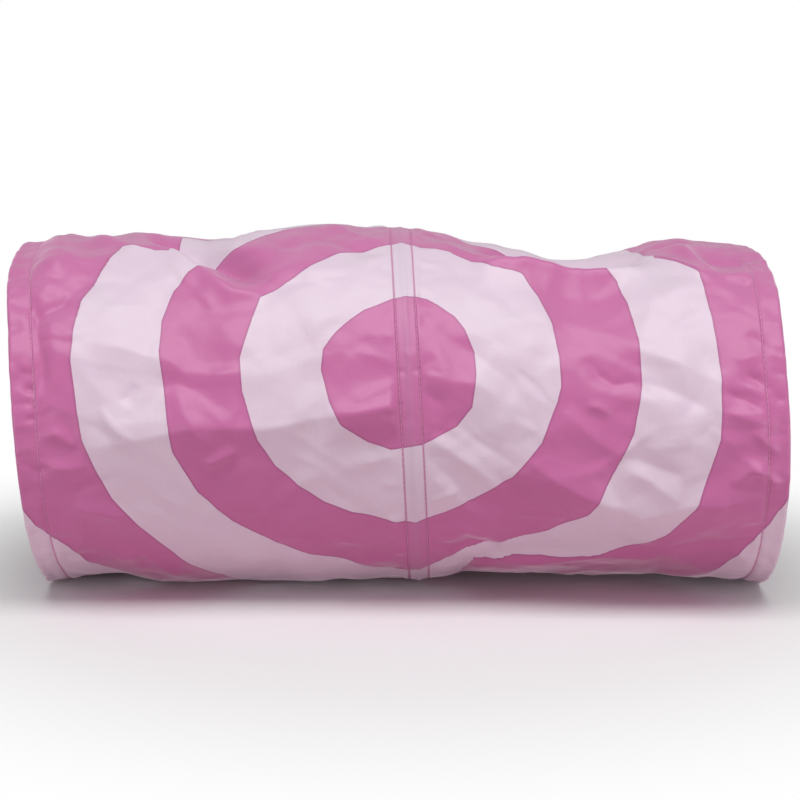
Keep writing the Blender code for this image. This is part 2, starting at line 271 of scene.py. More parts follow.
FRONT_CREASES = (
    # left half: folds that start at the hem
    Crease(((-240, 52), (-233, 41), (-232, 31), (-229.5, 25), (-229, 12)), -4.8, 4.5, 0.5),
    Crease(((-234, 37), (-220.5, 41.8), (-208, 48.6), (-197, 55)), -3.6, 6, 0.6),
    Crease(((-236, 63), (-212, 60)), 3.5, 14, 3.75),
    Crease(((-238, 36), (-237, 22), (-238, 8)), -3.6, 3, 0.45),
    Crease(((-246, 26), (-240, 18), (-234, 14)), -3.4, 3, 0.45),
    Crease(((-247, -6), (-238, -10), (-228, -9)), -3.1, 3, 0.45),
    Crease(((-240, -9.6), (-220, -10.2), (-204, -9.2)), 3.1, 8, 0.75),
    # left half: small puckers that the hem's stitches draw up
    Crease(((-242, 23), (-236, 20.5)), -3, 2.5, 0.4),
    Crease(((-242, 16), (-235, 17)), -3, 2.5, 0.4),
    Crease(((-242, 12.5), (-236, 11.5)), -2.6, 2.5, 0.4),
    Crease(((-242, 6.5), (-234, 7.5)), -3, 2.5, 0.4),
    Crease(((-229, 3), (-221, 0), (-211, -3.4)), 3, 5, 0.5),
    # left half: broken folds above and below the mid-height
    Crease(((-195, 10), (-188, 4.6), (-181, 2), (-172, 0)), 3.2, 5.5, 0.4),
    Crease(((-170, 17), (-176, 13), (-181, 11)), -2, 3.5, 0.4),
    Crease(((-147, 18), (-141, 9), (-135, 3), (-124, -2.4)), 3.4, 9, 0.6),
    Crease(((-133, -6.8), (-121, -5), (-110, -2.6)), 2.6, 5, 0.5),
    Crease(((-218, -23.6), (-201, -26), (-184, -26.4)), 2.8, 7, 0.6),
    # left half: the fold round the sagged top
    Crease(((-204, 88), (-184, 75.2), (-170.5, 71), (-150, 72)), 3.6, 9, 0.9),
    Crease(((-166, 77), (-145.5, 68.2), (-130.5, 61), (-119.5, 54.2), (-108.5, 48.4),
            (-84, 46)), 7.2, 10, 1),
    Crease(((-170, 88), (-146, 83), (-131, 78), (-119, 71), (-104, 62), (-84, 52)), -13, 12, 2),
    # left half: the long lengthwise fold at mid-height
    Crease(((-214, -4), (-191.5, -2), (-175.5, -0.2), (-154.5, 2.8), (-132.5, 5), (-92.5, 3.6), (-62.5, 5.6),
            (-34.5, 7.2), (-10, 9), (14, 14)), 8.5, 22, 0.7),
    Crease(((-56, 7), (-28, 8), (-15, 9), (0, 9.5)), 4.2, 12, 0.45),
    Crease(((-162, 31), (-142.5, 21), (-131, 21.4), (-116, 20.2), (-102, 25)), 3.1, 12, 1.12),
    Crease(((-136, -8), (-121, -4.4), (-107, -1)), 1.7, 5, 0.75),
    Crease(((-198, -50), (-177, -44.4), (-156, -61)), 3.1, 8, 0.9),
    # right half: the fold below the shaded front
    Crease(((60, -1), (97, -12.2), (130.5, -19.6), (154, -24.6), (168, -23.2), (183.5, -21.4), (209, -20.2),
            (240, -16)), 8, 21, 0.7),
    Crease(((100, 13), (124, 2), (146, -5)), 2.5, 8, 0.9),
    # right half: folds that fan out from the middle stitching
    Crease(((0, 20.5), (11, 19), (27, 17), (44, 17), (64, 14)), 3.6, 14, 0.5),
    Crease(((4, 4), (21, -3.2), (38, -8.4), (58, -16)), 2.1, 5, 0.75),
    Crease(((6, -5), (24, -13), (40, -25)), -2, 5, 0.75),
    Crease(((28, 5), (44, -1), (68, -8)), -2.5, 7, 0.9),
    Crease(((3, 19), (18, 25)), -1.7, 4, 0.6),
    Crease(((18, -40), (33, -32.8), (50, -37)), 3.4, 6, 0.75),
    Crease(((20, -46), (38, -41), (58, -43)), -3.4, 7, 0.75),
    # right half: slanting folds on the pale ring and beside the hem
    Crease(((148, 33), (181, 24.4), (208, 18)), 2.7, 8, 0.9),
    Crease(((148, 23), (172.5, 17.2), (200, 9)), -2.5, 7, 0.9),
    Crease(((136, -2), (160, -7.2), (182, -12)), -2.8, 6, 0.75),
    Crease(((138, -5), (159.5, -12.8), (180, -21)), 2.5, 7, 0.75),
    Crease(((220, 23), (242, 16)), -3.1, 5, 0.6),
    Crease(((225, 36), (242, 30)), -2.1, 5, 0.6),
    Crease(((200, 10), (242, 5.5)), 2.8, 6, 0.75),
    Crease(((216, -5), (233.5, -8.8), (245, -15)), 2.8, 5, 0.75),
    # right half: broken folds on the pink ring and beside the hem
    Crease(((119, 32), (127, 25), (136, 21.6), (152, 22)), -3.2, 6, 0.5),
    Crease(((116, 14.6), (124, 14), (133, 11.5)), 2.4, 4.5, 0.5),
    Crease(((206, 16.4), (221, 13.5), (233, 9.6)), -2.6, 4, 0.5),
    Crease(((210, -14), (223, -8.6), (229, -8.4), (236, -11), (245, -16)), 3.6, 5, 0.45),
    Crease(((224, 4), (234, 0.6), (241, -3.4)), 2.8, 3.5, 0.5),
    # right half: the sagged top
    Crease(((46, 64), (60, 63), (90, 65), (120, 66), (150, 66), (172, 64)), 13, 12, 1.2),
    Crease(((40, 84), (70, 84), (110, 84), (150, 84), (178, 84)), -13, 16, 3),
    Crease(((22, 80), (48, 69), (76, 64)), 3.1, 7, 0.75),
    Crease(((186, 86), (203, 69.4), (208, 60.8), (219.5, 60.2), (242, 63)), 3.6, 6, 0.75),
    Crease(((198, 76), (226, 71), (250, 75)), -4.5, 12, 4),
    Crease(((158, 82), (175.5, 73.8), (186.5, 66.4), (210, 54)), 3.1, 6, 0.75),
    Crease(((174, 86), (192, 88), (210, 88)), -3.4, 6, 1.12),
    # right half: the shaded underside
    Crease(((34, -66), (54, -50), (67.5, -51.4), (98, -50), (126.5, -46.4), (170, -52)), 3.4, 11, 1.2),
    # middle: folds of the top beside the hoop
    Crease(((-52, 92), (-30, 78), (-10, 70)), 2.5, 7, 0.9),
    Crease(((-60, 78), (-36, 68), (-14, 64)), -2.2, 7, 0.9),
)

# small puckers that the two rows of stitches draw up on the disc
BAND_CREASES = (
    Crease(((-8.5, 19), (-6, 19.6), (-1, 19.4)), -0.9, 1.8, 0.4),
    Crease(((9, 20.6), (5.5, 20), (2, 20.4)), -0.9, 1.8, 0.4),
    Crease(((-13, 8.6), (-8, 10), (-4, 9)), -0.8, 1.8, 0.4),
    Crease(((-6.5, 4), (-1, 6), (4, 4)), -0.5, 2.5, 0.5),
    Crease(((-4, 26), (2, 24), (6.5, 27)), 0.5, 2.5, 0.5),
)


@dataclass(frozen=True)
class Crumple:
    """Flat facets all over the cloth, as crisp taffeta keeps them. Sizes in millimetres."""

    cell: float
    depth: float
    seed: int
    jitter: float = 0.42


class ReliefMap:
    """How far the cloth stands out of or into its standing form, over the whole tube."""

    STEP: ClassVar[float] = 1.0 * MM
    # how many widths from its line a crease is looked for
    REACH: ClassVar[float] = 2.2

    def __init__(self, form: StandingForm) -> None:
        """Makes an even map with nothing pressed in.

        Args:
            form: The tube's standing form, for its sizes.
        """
        self.form = form
        self.rows = int(round(2 * form.half_length / self.STEP)) + 1
        self.columns = int(round(form.girth / self.STEP))
        self.stations = np.linspace(-form.half_length, form.half_length, self.rows)
        self.angles = np.arange(self.columns) * TURN / self.columns - math.pi
        self.height = np.zeros((self.rows, self.columns))

    def press(self, crease: Crease) -> None:
        """Adds one crease to the map.

        Args:
            crease: The fold to press into the cloth.
        """
        girth = self.form.girth
        line = np.array(crease.line, float)
        path = np.stack([line[:, 0] * MM, np.radians(line[:, 1]) * self.form.radius], 1)
        middle = path.mean(0)[1]
        blunt = crease.blunt * MM
        reach = self.REACH * crease.width * MM + blunt
        low, high = path.min(0) - reach, path.max(0) + reach
        around = self.angles * self.form.radius - middle
        around = (around + girth / 2) % girth - girth / 2 + middle
        rows = numbers_between(self.stations, low[0], high[0])
        columns = numbers_between(around, low[1], high[1])
        px, py = np.meshgrid(self.stations[rows], around[columns], indexing="ij")
        steps = np.linalg.norm(np.diff(path, axis=0), axis=1)
        starts = np.concatenate([[0], np.cumsum(steps)])
        best = np.full(px.shape, np.inf)
        along = np.zeros(px.shape)
        for a, b, start, step in zip(path[:-1], path[1:], starts, steps):
            t = ((px - a[0]) * (b[0] - a[0]) + (py - a[1]) * (b[1] - a[1])) / step**2
            t = np.clip(t, 0, 1)
            far = np.hypot(px - a[0] - t * (b[0] - a[0]), py - a[1] - t * (b[1] - a[1]))
            along = np.where(far < best, start + t * step, along)
            best = np.minimum(far, best)
        ends = np.clip(along / starts[-1], 0, 1)
        taper = (1 - (2 * ends - 1) ** 4) ** 1.5
        slope = (np.sqrt(best**2 + blunt**2) - blunt) / (2 * crease.width * MM)
        flank = np.clip(1 - slope, 0, 1) ** 2
        self.height[np.ix_(rows, columns)] += crease.height * MM * taper * flank

    def crumple(self, crumple: Crumple) -> None:
        """Adds a mesh of flat facets with sharp edges between them.

        Args:
            crumple: The facets' size, depth and seed.
        """
        random = np.random.default_rng(crumple.seed)
        girth, cell = self.form.girth, crumple.cell * MM
        across = int(math.ceil(2 * self.form.half_length / cell)) + 2
        around = int(round(girth / cell))
        spots, heights = [], []
        for row in range(across):
            for column in range(around):
                jitter = random.uniform(-crumple.jitter, crumple.jitter, 2)
                x = (row + 0.5 * (column % 2) + jitter[0] - 0.5) * cell - self.form.half_length
                y = (column + 0.5 + jitter[1]) * girth / around - girth / 2
                height = random.uniform(-1, 1) * crumple.depth * MM
                for turn in (-girth, 0, girth):
                    if abs(y + turn) < girth / 2 + 3 * cell:
                        spots.append(Vector((x, y + turn)))
                        heights.append(height)
        verts, _, faces, origin, _, _ = delaunay_2d_cdt(spots, [], [], 0, 1e-7)
        levels = np.array([heights[o[0]] for o in origin])
        places = np.array([tuple(v) for v in verts])
        layer = np.zeros_like(self.height)
        ys = self.angles * self.form.radius
        for face in faces:
            (ax, ay), (bx, by), (cx, cy) = places[list(face)]
            area = (bx - ax) * (cy - ay) - (cx - ax) * (by - ay)
            if abs(area) < 1e-12:
                continue
            rows = numbers_between(self.stations, min(ax, bx, cx), max(ax, bx, cx))
            columns = numbers_between(ys, min(ay, by, cy), max(ay, by, cy))
            px, py = np.meshgrid(self.stations[rows], ys[columns], indexing="ij")
            u = ((px - ax) * (cy - ay) - (cx - ax) * (py - ay)) / area
            v = ((bx - ax) * (py - ay) - (px - ax) * (by - ay)) / area
            inside = (u >= -1e-6) & (v >= -1e-6) & (u + v <= 1 + 1e-6)
            h = levels[face[0]] * (1 - u - v) + levels[face[1]] * u + levels[face[2]] * v
            block = np.ix_(rows, columns)
            layer[block] = np.where(inside, h, layer[block])
        self.height += layer

    def scatter(self, count: int, seed: int) -> None:
        """Presses in faint folds that lie at random over the whole tube.

        Args:
            count: How many folds.
            seed: Seed of their places and sizes.
        """
        random = np.random.default_rng(seed)
        for _ in range(count):
            station = random.uniform(-225, 225)
            turn = random.uniform(-180, 180)
            slants = [random.normal(0, 14), random.normal(40, 16), random.normal(-40, 16)]
            slant = math.radians(random.choice(slants))
            half = random.uniform(9, 34)
            run = half * math.cos(slant)
            rise = math.degrees(half * math.sin(slant) * MM / self.form.radius)
            line = ((station - run, turn - rise), (station + run, turn + rise))
            sign = random.choice([-1, 1])
            self.press(Crease(line, sign * random.uniform(0.4, 1.3), random.uniform(3, 9), 0.6))

    def pucker(self, station: float, inward: int, count: int, depth: float, seed: int) -> None:
        """Presses in the short puckers that a row of stitches draws up beside it.

        Args:
            station: The stitched line's station in millimetres.
            inward: Sign of x away from the line.
            count: How many puckers go round the tube.
            depth: How much deeper they are than the usual 0.5 to 1.5 mm.
            seed: Seed of their places and sizes.
        """
        random = np.random.default_rng(seed)
        for number in range(count):
            turn = (number + random.uniform(-0.4, 0.4)) * 360 / count
            length = random.uniform(9, 30)
            drift = random.normal(0, 4)
            line = ((station, turn), (station + inward * length, turn + drift))
            sign = random.choice([-1, 1])
            height = sign * depth * random.uniform(0.5, 1.5)
            self.press(Crease(line, height, random.uniform(2.5, 5), 0.6))

    def soften(self) -> None:
        """Rounds the map over its neighbouring places."""
        h = self.height
        h = 0.5 * h + 0.25 * (np.roll(h, 1, 1) + np.roll(h, -1, 1))
        padded = np.pad(h, ((1, 1), (0, 0)), mode="edge")
        self.height = 0.5 * h + 0.25 * (padded[:-2] + padded[2:])

    def hold_at(self, lines: tuple, run: float, left: float) -> None:
        """Flattens the map where the cloth is sewn down.

        Args:
            lines: Pairs of stations, in metres, between which the cloth is held flat.
            run: How far beside a line the cloth takes to rise to its full relief.
            left: The share of the relief that is left between the lines.
        """
        for low, high in lines:
            gap = np.maximum(low - self.stations, self.stations - high)
            self.height *= left + (1 - left) * smooth_step(gap / run)[:, None]

    def sample(self, station: np.ndarray, angle: np.ndarray) -> np.ndarray:
        """Reads the map's height, in metres, between its places."""
        row = (station + self.form.half_length) / self.STEP
        return read_grid(self.height, np.clip(row, 0, self.rows - 1.001), angle)


@dataclass(frozen=True)
class RingPrint:
    """Concentric rings, printed a little out of round, as the stretched cloth took the dye.

    Each edge is a row of (direction in degrees, distance in mm) corners about the middle
    of the print, joined by straight lines, and counted from the inside out.
    """

    edges: tuple = (
        (
            (0, 53), (18, 55), (36, 56.5), (48, 57.5), (72, 58), (84, 54), (96, 51.5), (120, 49.5),
            (138, 49.5), (150, 51), (165, 54.5), (180, 54), (204, 52.5), (222, 53.5), (246, 52),
            (264, 53.5), (288, 52), (318, 54), (336, 55),
        ),
        (
            (0, 111), (12, 112.5), (24, 116), (36, 119.5), (45, 122), (54, 110), (62, 109.5), (72, 114.5),
            (90, 110.5), (98, 105), (114, 104), (130, 99.5), (138, 102), (150, 112), (174, 110),
            (186, 107.5), (204, 105.5), (216, 104.5), (228, 103), (240, 103), (252, 102.5), (264, 103.5),
            (276, 108), (288, 105), (300, 104), (318, 105.5), (336, 107), (354, 109),
        ),
        (
            (0, 166), (12, 168.5), (24, 174.5), (31, 179.5), (46, 178), (56, 175), (66, 172), (75, 170),
            (84, 168.5), (96, 167.5), (108, 167), (120, 167), (128, 166.5), (134, 166), (139, 177),
            (143, 158), (147, 165), (151, 170), (157, 171.5), (166, 169.5), (174, 165.5), (198, 162),
            (210, 159.5), (222, 155), (246, 152.5), (258, 156), (264, 165), (270, 171), (276, 166),
            (282, 156), (288, 151), (312, 158), (324, 162.5), (348, 164),
        ),
        (
            (0, 220), (12, 221), (18, 224), (22, 227), (27, 220), (32, 216), (39, 229), (46, 246),
            (52, 244), (58, 240), (66, 236), (75, 231.5), (84, 228), (93, 225), (102, 222.5), (111, 221),
            (120, 220), (126, 219.5), (131, 220), (135, 228), (139, 214), (144, 200), (147.5, 194),
            (149, 212), (150.5, 228), (154, 226.5), (158, 225), (162, 224.5), (166, 227), (171, 226),
            (178, 224), (192, 220.5), (204, 216), (228, 212), (234, 215), (240, 231), (262, 230),
            (282, 205), (289, 164), (295, 167), (299, 168), (305, 178), (308, 187), (313, 198), (319, 209),
            (323, 218), (327, 223), (337, 224), (349, 223),
        ),
        (
            (0, 284), (12, 296), (24, 305), (33, 306), (42, 305), (50, 301), (58, 294), (66, 288),
            (74, 284), (82, 281), (90, 280), (98, 281), (106, 284), (114, 288), (120, 293), (128, 303),
            (136, 314), (143, 325), (150, 334), (158, 332), (166, 322), (178, 296), (198, 279), (204, 274),
            (210, 269), (216, 274), (240, 277), (270, 280), (300, 290), (309, 297), (316, 294), (322, 286),
            (327, 281), (336, 278.5), (345, 281),
        ),
    )

    def edge_distance(self, corners: tuple, direction: np.ndarray) -> np.ndarray:
        """Gives how far an edge lies from the middle of the print in each direction.

        Args:
            corners: The edge's corners.
            direction: Directions in radians.

        Returns:
            Distances in metres.
        """
        turns = np.radians([c[0] for c in corners] + [corners[0][0] + 360])
        far = np.array([c[1] for c in corners] + [corners[0][1]]) * MM
        spots = np.stack([far * np.cos(turns), far * np.sin(turns)], 1)
        direction = (direction - turns[0]) % TURN + turns[0]
        index = np.clip(np.searchsorted(turns, direction, side="right") - 1, 0, len(corners) - 1)
        a, b = spots[index], spots[index + 1]
        ray = np.stack([np.cos(direction), np.sin(direction)], -1)
        cross = a[..., 0] * b[..., 1] - a[..., 1] * b[..., 0]
        step = b - a
        return cross / (ray[..., 0] * step[..., 1] - ray[..., 1] * step[..., 0])

    def even(self, flat: np.ndarray) -> np.ndarray:
        """Moves places on the cloth so that every edge becomes a true circle.

        Args:
            flat: Places on the flat cloth in metres from the middle of the print.

        Returns:
            Places at which the edges are circles one ring width apart.
        """
        distance = np.hypot(flat[..., 0], flat[..., 1])
        direction = np.arctan2(flat[..., 1], flat[..., 0])
        knots = [np.zeros_like(distance)] + [self.edge_distance(c, direction) for c in self.edges]
        knots.append(knots[-1] + RING_WIDTH)
        result = distance - knots[-1] + RING_WIDTH * (len(knots) - 1)
        for number in range(len(knots) - 2, -1, -1):
            low, high = knots[number], knots[number + 1]
            within = (number + (distance - low) / (high - low)) * RING_WIDTH
            result = np.where(distance < high, within, result)
        scale = result / np.maximum(distance, 1e-9)
        return flat * scale[..., None]


@dataclass
class Skin:
    """The creased surface of the outer cloth, from which every layer takes its place."""

    CRUMPLES: ClassVar[tuple] = (Crumple(36, 2.6, seed=11), Crumple(15, 0.95, seed=12))
    # each stitched line's station in mm, its sign, and its puckers' count, depth and seed
    PUCKERS: ClassVar[tuple] = (
        (7, 1, 46, 1.0, 20), (-7, -1, 46, 1.0, 21), (235.5, -1, 46, 1.0, 22), (-235.5, 1, 46, 1.0, 23),
        (-237, -1, 64, 1.5, 30), (237, 1, 64, 1.5, 31),
    )
    FAINT_FOLDS: ClassVar[int] = 190
    # stations between which the casing and the hems are sewn down
    CASING: ClassVar[tuple] = ((-0.0072, 0.0072),)
    HEMS: ClassVar[tuple] = ((0.2348, 1.0), (-1.0, -0.2348))

    form: StandingForm
    relief: ReliefMap
    seam_station: float = 0.0067
    hem_station: float = 0.2355
    print_angle: float = math.radians(20.15)
    print_x: float = -0.0042
    # how much longer the flat cloth is than the half that it is sewn into
    slack: float = 1.05
    rings: RingPrint = RingPrint()
    drapes: list = field(default_factory=list)

    @classmethod
    def creased(cls, form: StandingForm, slack: "SlackCloth | None") -> "Skin":
        """Builds the surface: facets, then the buckling of the slack cloth, then its folds.

        Args:
            form: The tube's standing form.
            slack: How the slack cloth is simulated, or None to leave it taut.

        Returns:
            The finished surface.
        """
        relief = ReliefMap(form)
        for crumple in cls.CRUMPLES:
            relief.crumple(crumple)
        skin = cls(form, relief)
        if slack is not None:
            skin.drapes.extend([slack.settle(skin, side) for side in Side])
        relief.scatter(cls.FAINT_FOLDS, seed=13)
        for crease in FRONT_CREASES:
            relief.press(crease)
        for row in cls.PUCKERS:
            relief.pucker(*row)
        relief.soften()
        relief.hold_at(cls.CASING, 5 * MM, left=0.25)
        for crease in BAND_CREASES:
            relief.press(crease)
        relief.hold_at(cls.HEMS, 4 * MM, left=0.6)
        return skin

    def place(self, station: np.ndarray, angle: np.ndarray, inset: np.ndarray) -> np.ndarray:
        """Gives points that lie a given depth under the outer cloth.

        Args:
            station: Stations in metres.
            angle: Angles in radians.
            inset: Depths under the cloth's outer face in metres.

        Returns:
            Points in the row frame.
        """
        points = self.form.point(station, angle, self.relief.sample(station, angle) - inset)
        for drape in self.drapes:
            points = points + drape.sample(station, angle)
        points[..., 2] = np.maximum(points[..., 2], self.form.rest_height)
        return points

    def flat(self, station: np.ndarray, angle: np.ndarray) -> np.ndarray:
        """Gives the places on the flat cloth of points on the tunnel.

        Args:
            station: Stations in metres.
            angle: Angles in radians.

        Returns:
            Places in metres from the middle of the print, as it would be in true circles.
        """
        x = self.form.point(station, angle, np.zeros_like(station))[..., 0]
        across = (x - self.print_x) * self.slack
        around = (angle - self.print_angle) * self.form.radius
        return self.rings.even(np.stack([across, around], -1))


def add_object(name: str, data: bpy.types.ID) -> Object:
    """Puts a new object in the scene.

    Args:
        name: Its name.
        data: Its mesh, lamp or camera.

    Returns:
        The new object.
    """
    added = bpy.data.objects.new(name, data)
    bpy.context.scene.collection.objects.link(added)
    return added


def grid_faces(rows: int, columns: int, corners: tuple, closed: bool = True) -> list:
    """Gives the faces of a grid of points.

    Args:
        rows: How many squares lie down the grid.
        columns: How many squares lie along it.
        corners: The corners of a square in order, as steps down and along.
        closed: Whether the last column of squares ends on the first column of points.

    Returns:
        Four point numbers for each face.
    """
    wide = columns if closed else columns + 1
    return [
        tuple((r + down) * wide + (c + along) % wide for down, along in corners)
        for r in range(rows)
        for c in range(columns)
    ]


def mesh_piece(name: str, points: np.ndarray, faces: list, finish: Material | None = None) -> Object:
    """Makes a smooth-shaded mesh object at the origin.

    Args:
        name: The piece's name.
        points: Its corners.
        faces: Its faces as tuples of corner numbers.
        finish: Its material.

    Returns:
        The new object.
    """
    mesh = bpy.data.meshes.new(name)
    mesh.from_pydata([tuple(map(float, p)) for p in points], [], faces)
    mesh.polygons.foreach_set("use_smooth", np.ones(len(mesh.polygons), bool))
    if finish is not None:
        mesh.materials.append(finish)
    return add_object(name, mesh)


def thicken(piece: Object, thickness: float) -> None:
    """Gives a sheet its thickness, inwards from its outer face.

    Args:
        piece: The sheet.
        thickness: Its thickness in metres.
    """
    solid = piece.modifiers.new("thickness", "SOLIDIFY")
    solid.thickness = thickness
    solid.offset = -1.0
    solid.use_even_offset = False


@dataclass(frozen=True)
class SlackCloth:
    """Lets a panel that is a little too long for its hoops buckle and sag by simulation."""

    RULES: ClassVar[dict] = {
        "quality": 5, "mass": 0.05, "tension_stiffness": 12, "compression_stiffness": 12,
        "shear_stiffness": 4, "bending_stiffness": 0.02, "tension_damping": 8,
        "compression_damping": 8, "air_damping": 2, "pin_stiffness": 0.5,
    }

    grid: float = 3.6 * MM
    slack: float = 0.022
    frames: int = 22
    hold: float = 0.08
    cap: float = 7 * MM
    share: float = 0.7
    ironing: int = 3
    gravity: float = 0.02
    # cloth below this height rests on the floor and stays there
    floor_contact: float = 1.5 * MM

    def settle(self, skin: Skin, side: Side) -> "Drape":
        """Simulates one half's outer cloth between its two stitched edges.

        Args:
            skin: The creased surface that the cloth starts from.
            side: Which half.

        Returns:
            How far each place of the half moved.
        """
        rows = int(round((PANEL_END - PANEL_START) / self.grid))
        columns = int(round(skin.form.girth / self.grid))
        stations = side.value * np.linspace(PANEL_START, PANEL_END, rows + 1)
        angles = np.arange(columns) * TURN / columns - math.pi
        station, angle = np.meshgrid(stations, angles, indexing="ij")
        start = skin.place(station, angle, np.zeros_like(station))
        panel = mesh_piece("slack_cloth", start.reshape(-1, 3), grid_faces(rows, columns, DOWN_FIRST))
        mesh = panel.data
        on_floor = np.where(start[..., 2].ravel() < self.floor_contact)[0].tolist()
        edges = list(range(2 * columns)) + list(range((rows - 1) * columns, (rows + 1) * columns))
        sewn = panel.vertex_groups.new(name="sewn")
        sewn.add(list(range(len(mesh.vertices))), self.hold, "REPLACE")
        sewn.add(sorted(set(on_floor) | set(edges)), 1.0, "REPLACE")
        cloth = panel.modifiers.new("slack", "CLOTH")
        for name, value in self.RULES.items():
            setattr(cloth.settings, name, value)
        cloth.settings.vertex_group_mass = sewn.name
        cloth.settings.shrink_min = -self.slack
        cloth.settings.effector_weights.gravity = self.gravity
        cloth.collision_settings.use_collision = False
        cloth.collision_settings.use_self_collision = False
        cloth.point_cache.frame_start = 1
        cloth.point_cache.frame_end = self.frames
        scene = bpy.context.scene
        for number in range(1, self.frames + 1):
            scene.frame_set(number)
        settled = panel.evaluated_get(bpy.context.evaluated_depsgraph_get())
        end = np.empty(len(mesh.vertices) * 3, np.float32)
        settled.data.vertices.foreach_get("co", end)
        move = end.reshape(start.shape).astype(float) - start
        far = np.linalg.norm(move, axis=-1, keepdims=True)
        move *= self.share * self.cap * np.tanh(far / self.cap) / np.maximum(far, 1e-9)
        for _ in range(self.ironing):
            move = 0.5 * move + 0.25 * (np.roll(move, 1, 1) + np.roll(move, -1, 1))
            move[1:-1] = 0.5 * move[1:-1] + 0.25 * (move[:-2] + move[2:])
        mean, most = far.mean() / MM, far.max() / MM
        LOG.info("%s half settled: mean %.1f mm, most %.1f mm", side.word, mean, most)
        bpy.data.objects.remove(panel)
        bpy.data.meshes.remove(mesh)
        scene.frame_set(1)
        return Drape(side, move)


@dataclass(frozen=True)
class Drape:
    """Where the slack cloth of one half came to rest, as moves on an even grid."""

    side: Side
    move: np.ndarray

    def sample(self, station: np.ndarray, angle: np.ndarray) -> np.ndarray:
        """Reads the moves between the grid's places; outside the half they are nil.

        Args:
            station: Stations in metres.
            angle: Angles in radians.

        Returns:
            Moves in the row frame in metres.
        """
        along = (station * self.side.value - PANEL_START) / (PANEL_END - PANEL_START)
        row = np.clip(along, 0, 0.99999) * (self.move.shape[0] - 1)
        inside = ((along > 0) & (along < 1))[..., None]
        return np.where(inside, read_grid(self.move, row, angle), 0.0)


def feed(node: Node, inputs: dict) -> None:
    """Sets a node's inputs, or links them.

    Args:
        node: The node.
        inputs: By an input's name or number: a value, a socket to link from, or a node
            whose first enabled output is linked.
    """
    for name, value in inputs.items():
        if isinstance(value, Node):
            value = next(output for output in value.outputs if output.enabled)
        if isinstance(value, NodeSocket):
            node.id_data.links.new(value, node.inputs[name])
        else:
            node.inputs[name].default_value = value


def add_node(tree: NodeTree, kind: str, inputs: dict | None = None, **settings: object) -> Node:
    """Adds a node with its settings, values and links.

    Args:
        tree: The tree that the node goes into.
        kind: Blender's name for the node's type.
        inputs: What its inputs are set to or linked from.
        settings: The node's own properties by name.

    Returns:
        The new node.
    """
    node = tree.nodes.new(kind)
    for name, value in settings.items():
        setattr(node, name, value)
    feed(node, inputs or {})
    return node


def new_finish(name: str, **values: object) -> tuple[Material, NodeTree, Node]:
    """Makes a material with one Principled shader.

    Args:
        name: The material's name.
        values: Values of the shader's sockets, with underscores for spaces.

    Returns:
        The material, its tree and its shader.
    """
    finish = bpy.data.materials.new(name)
    finish.use_nodes = True
    shader = finish.node_tree.nodes["Principled BSDF"]
    feed(shader, {key.replace("_", " "): value for key, value in values.items()})
    return finish, finish.node_tree, shader


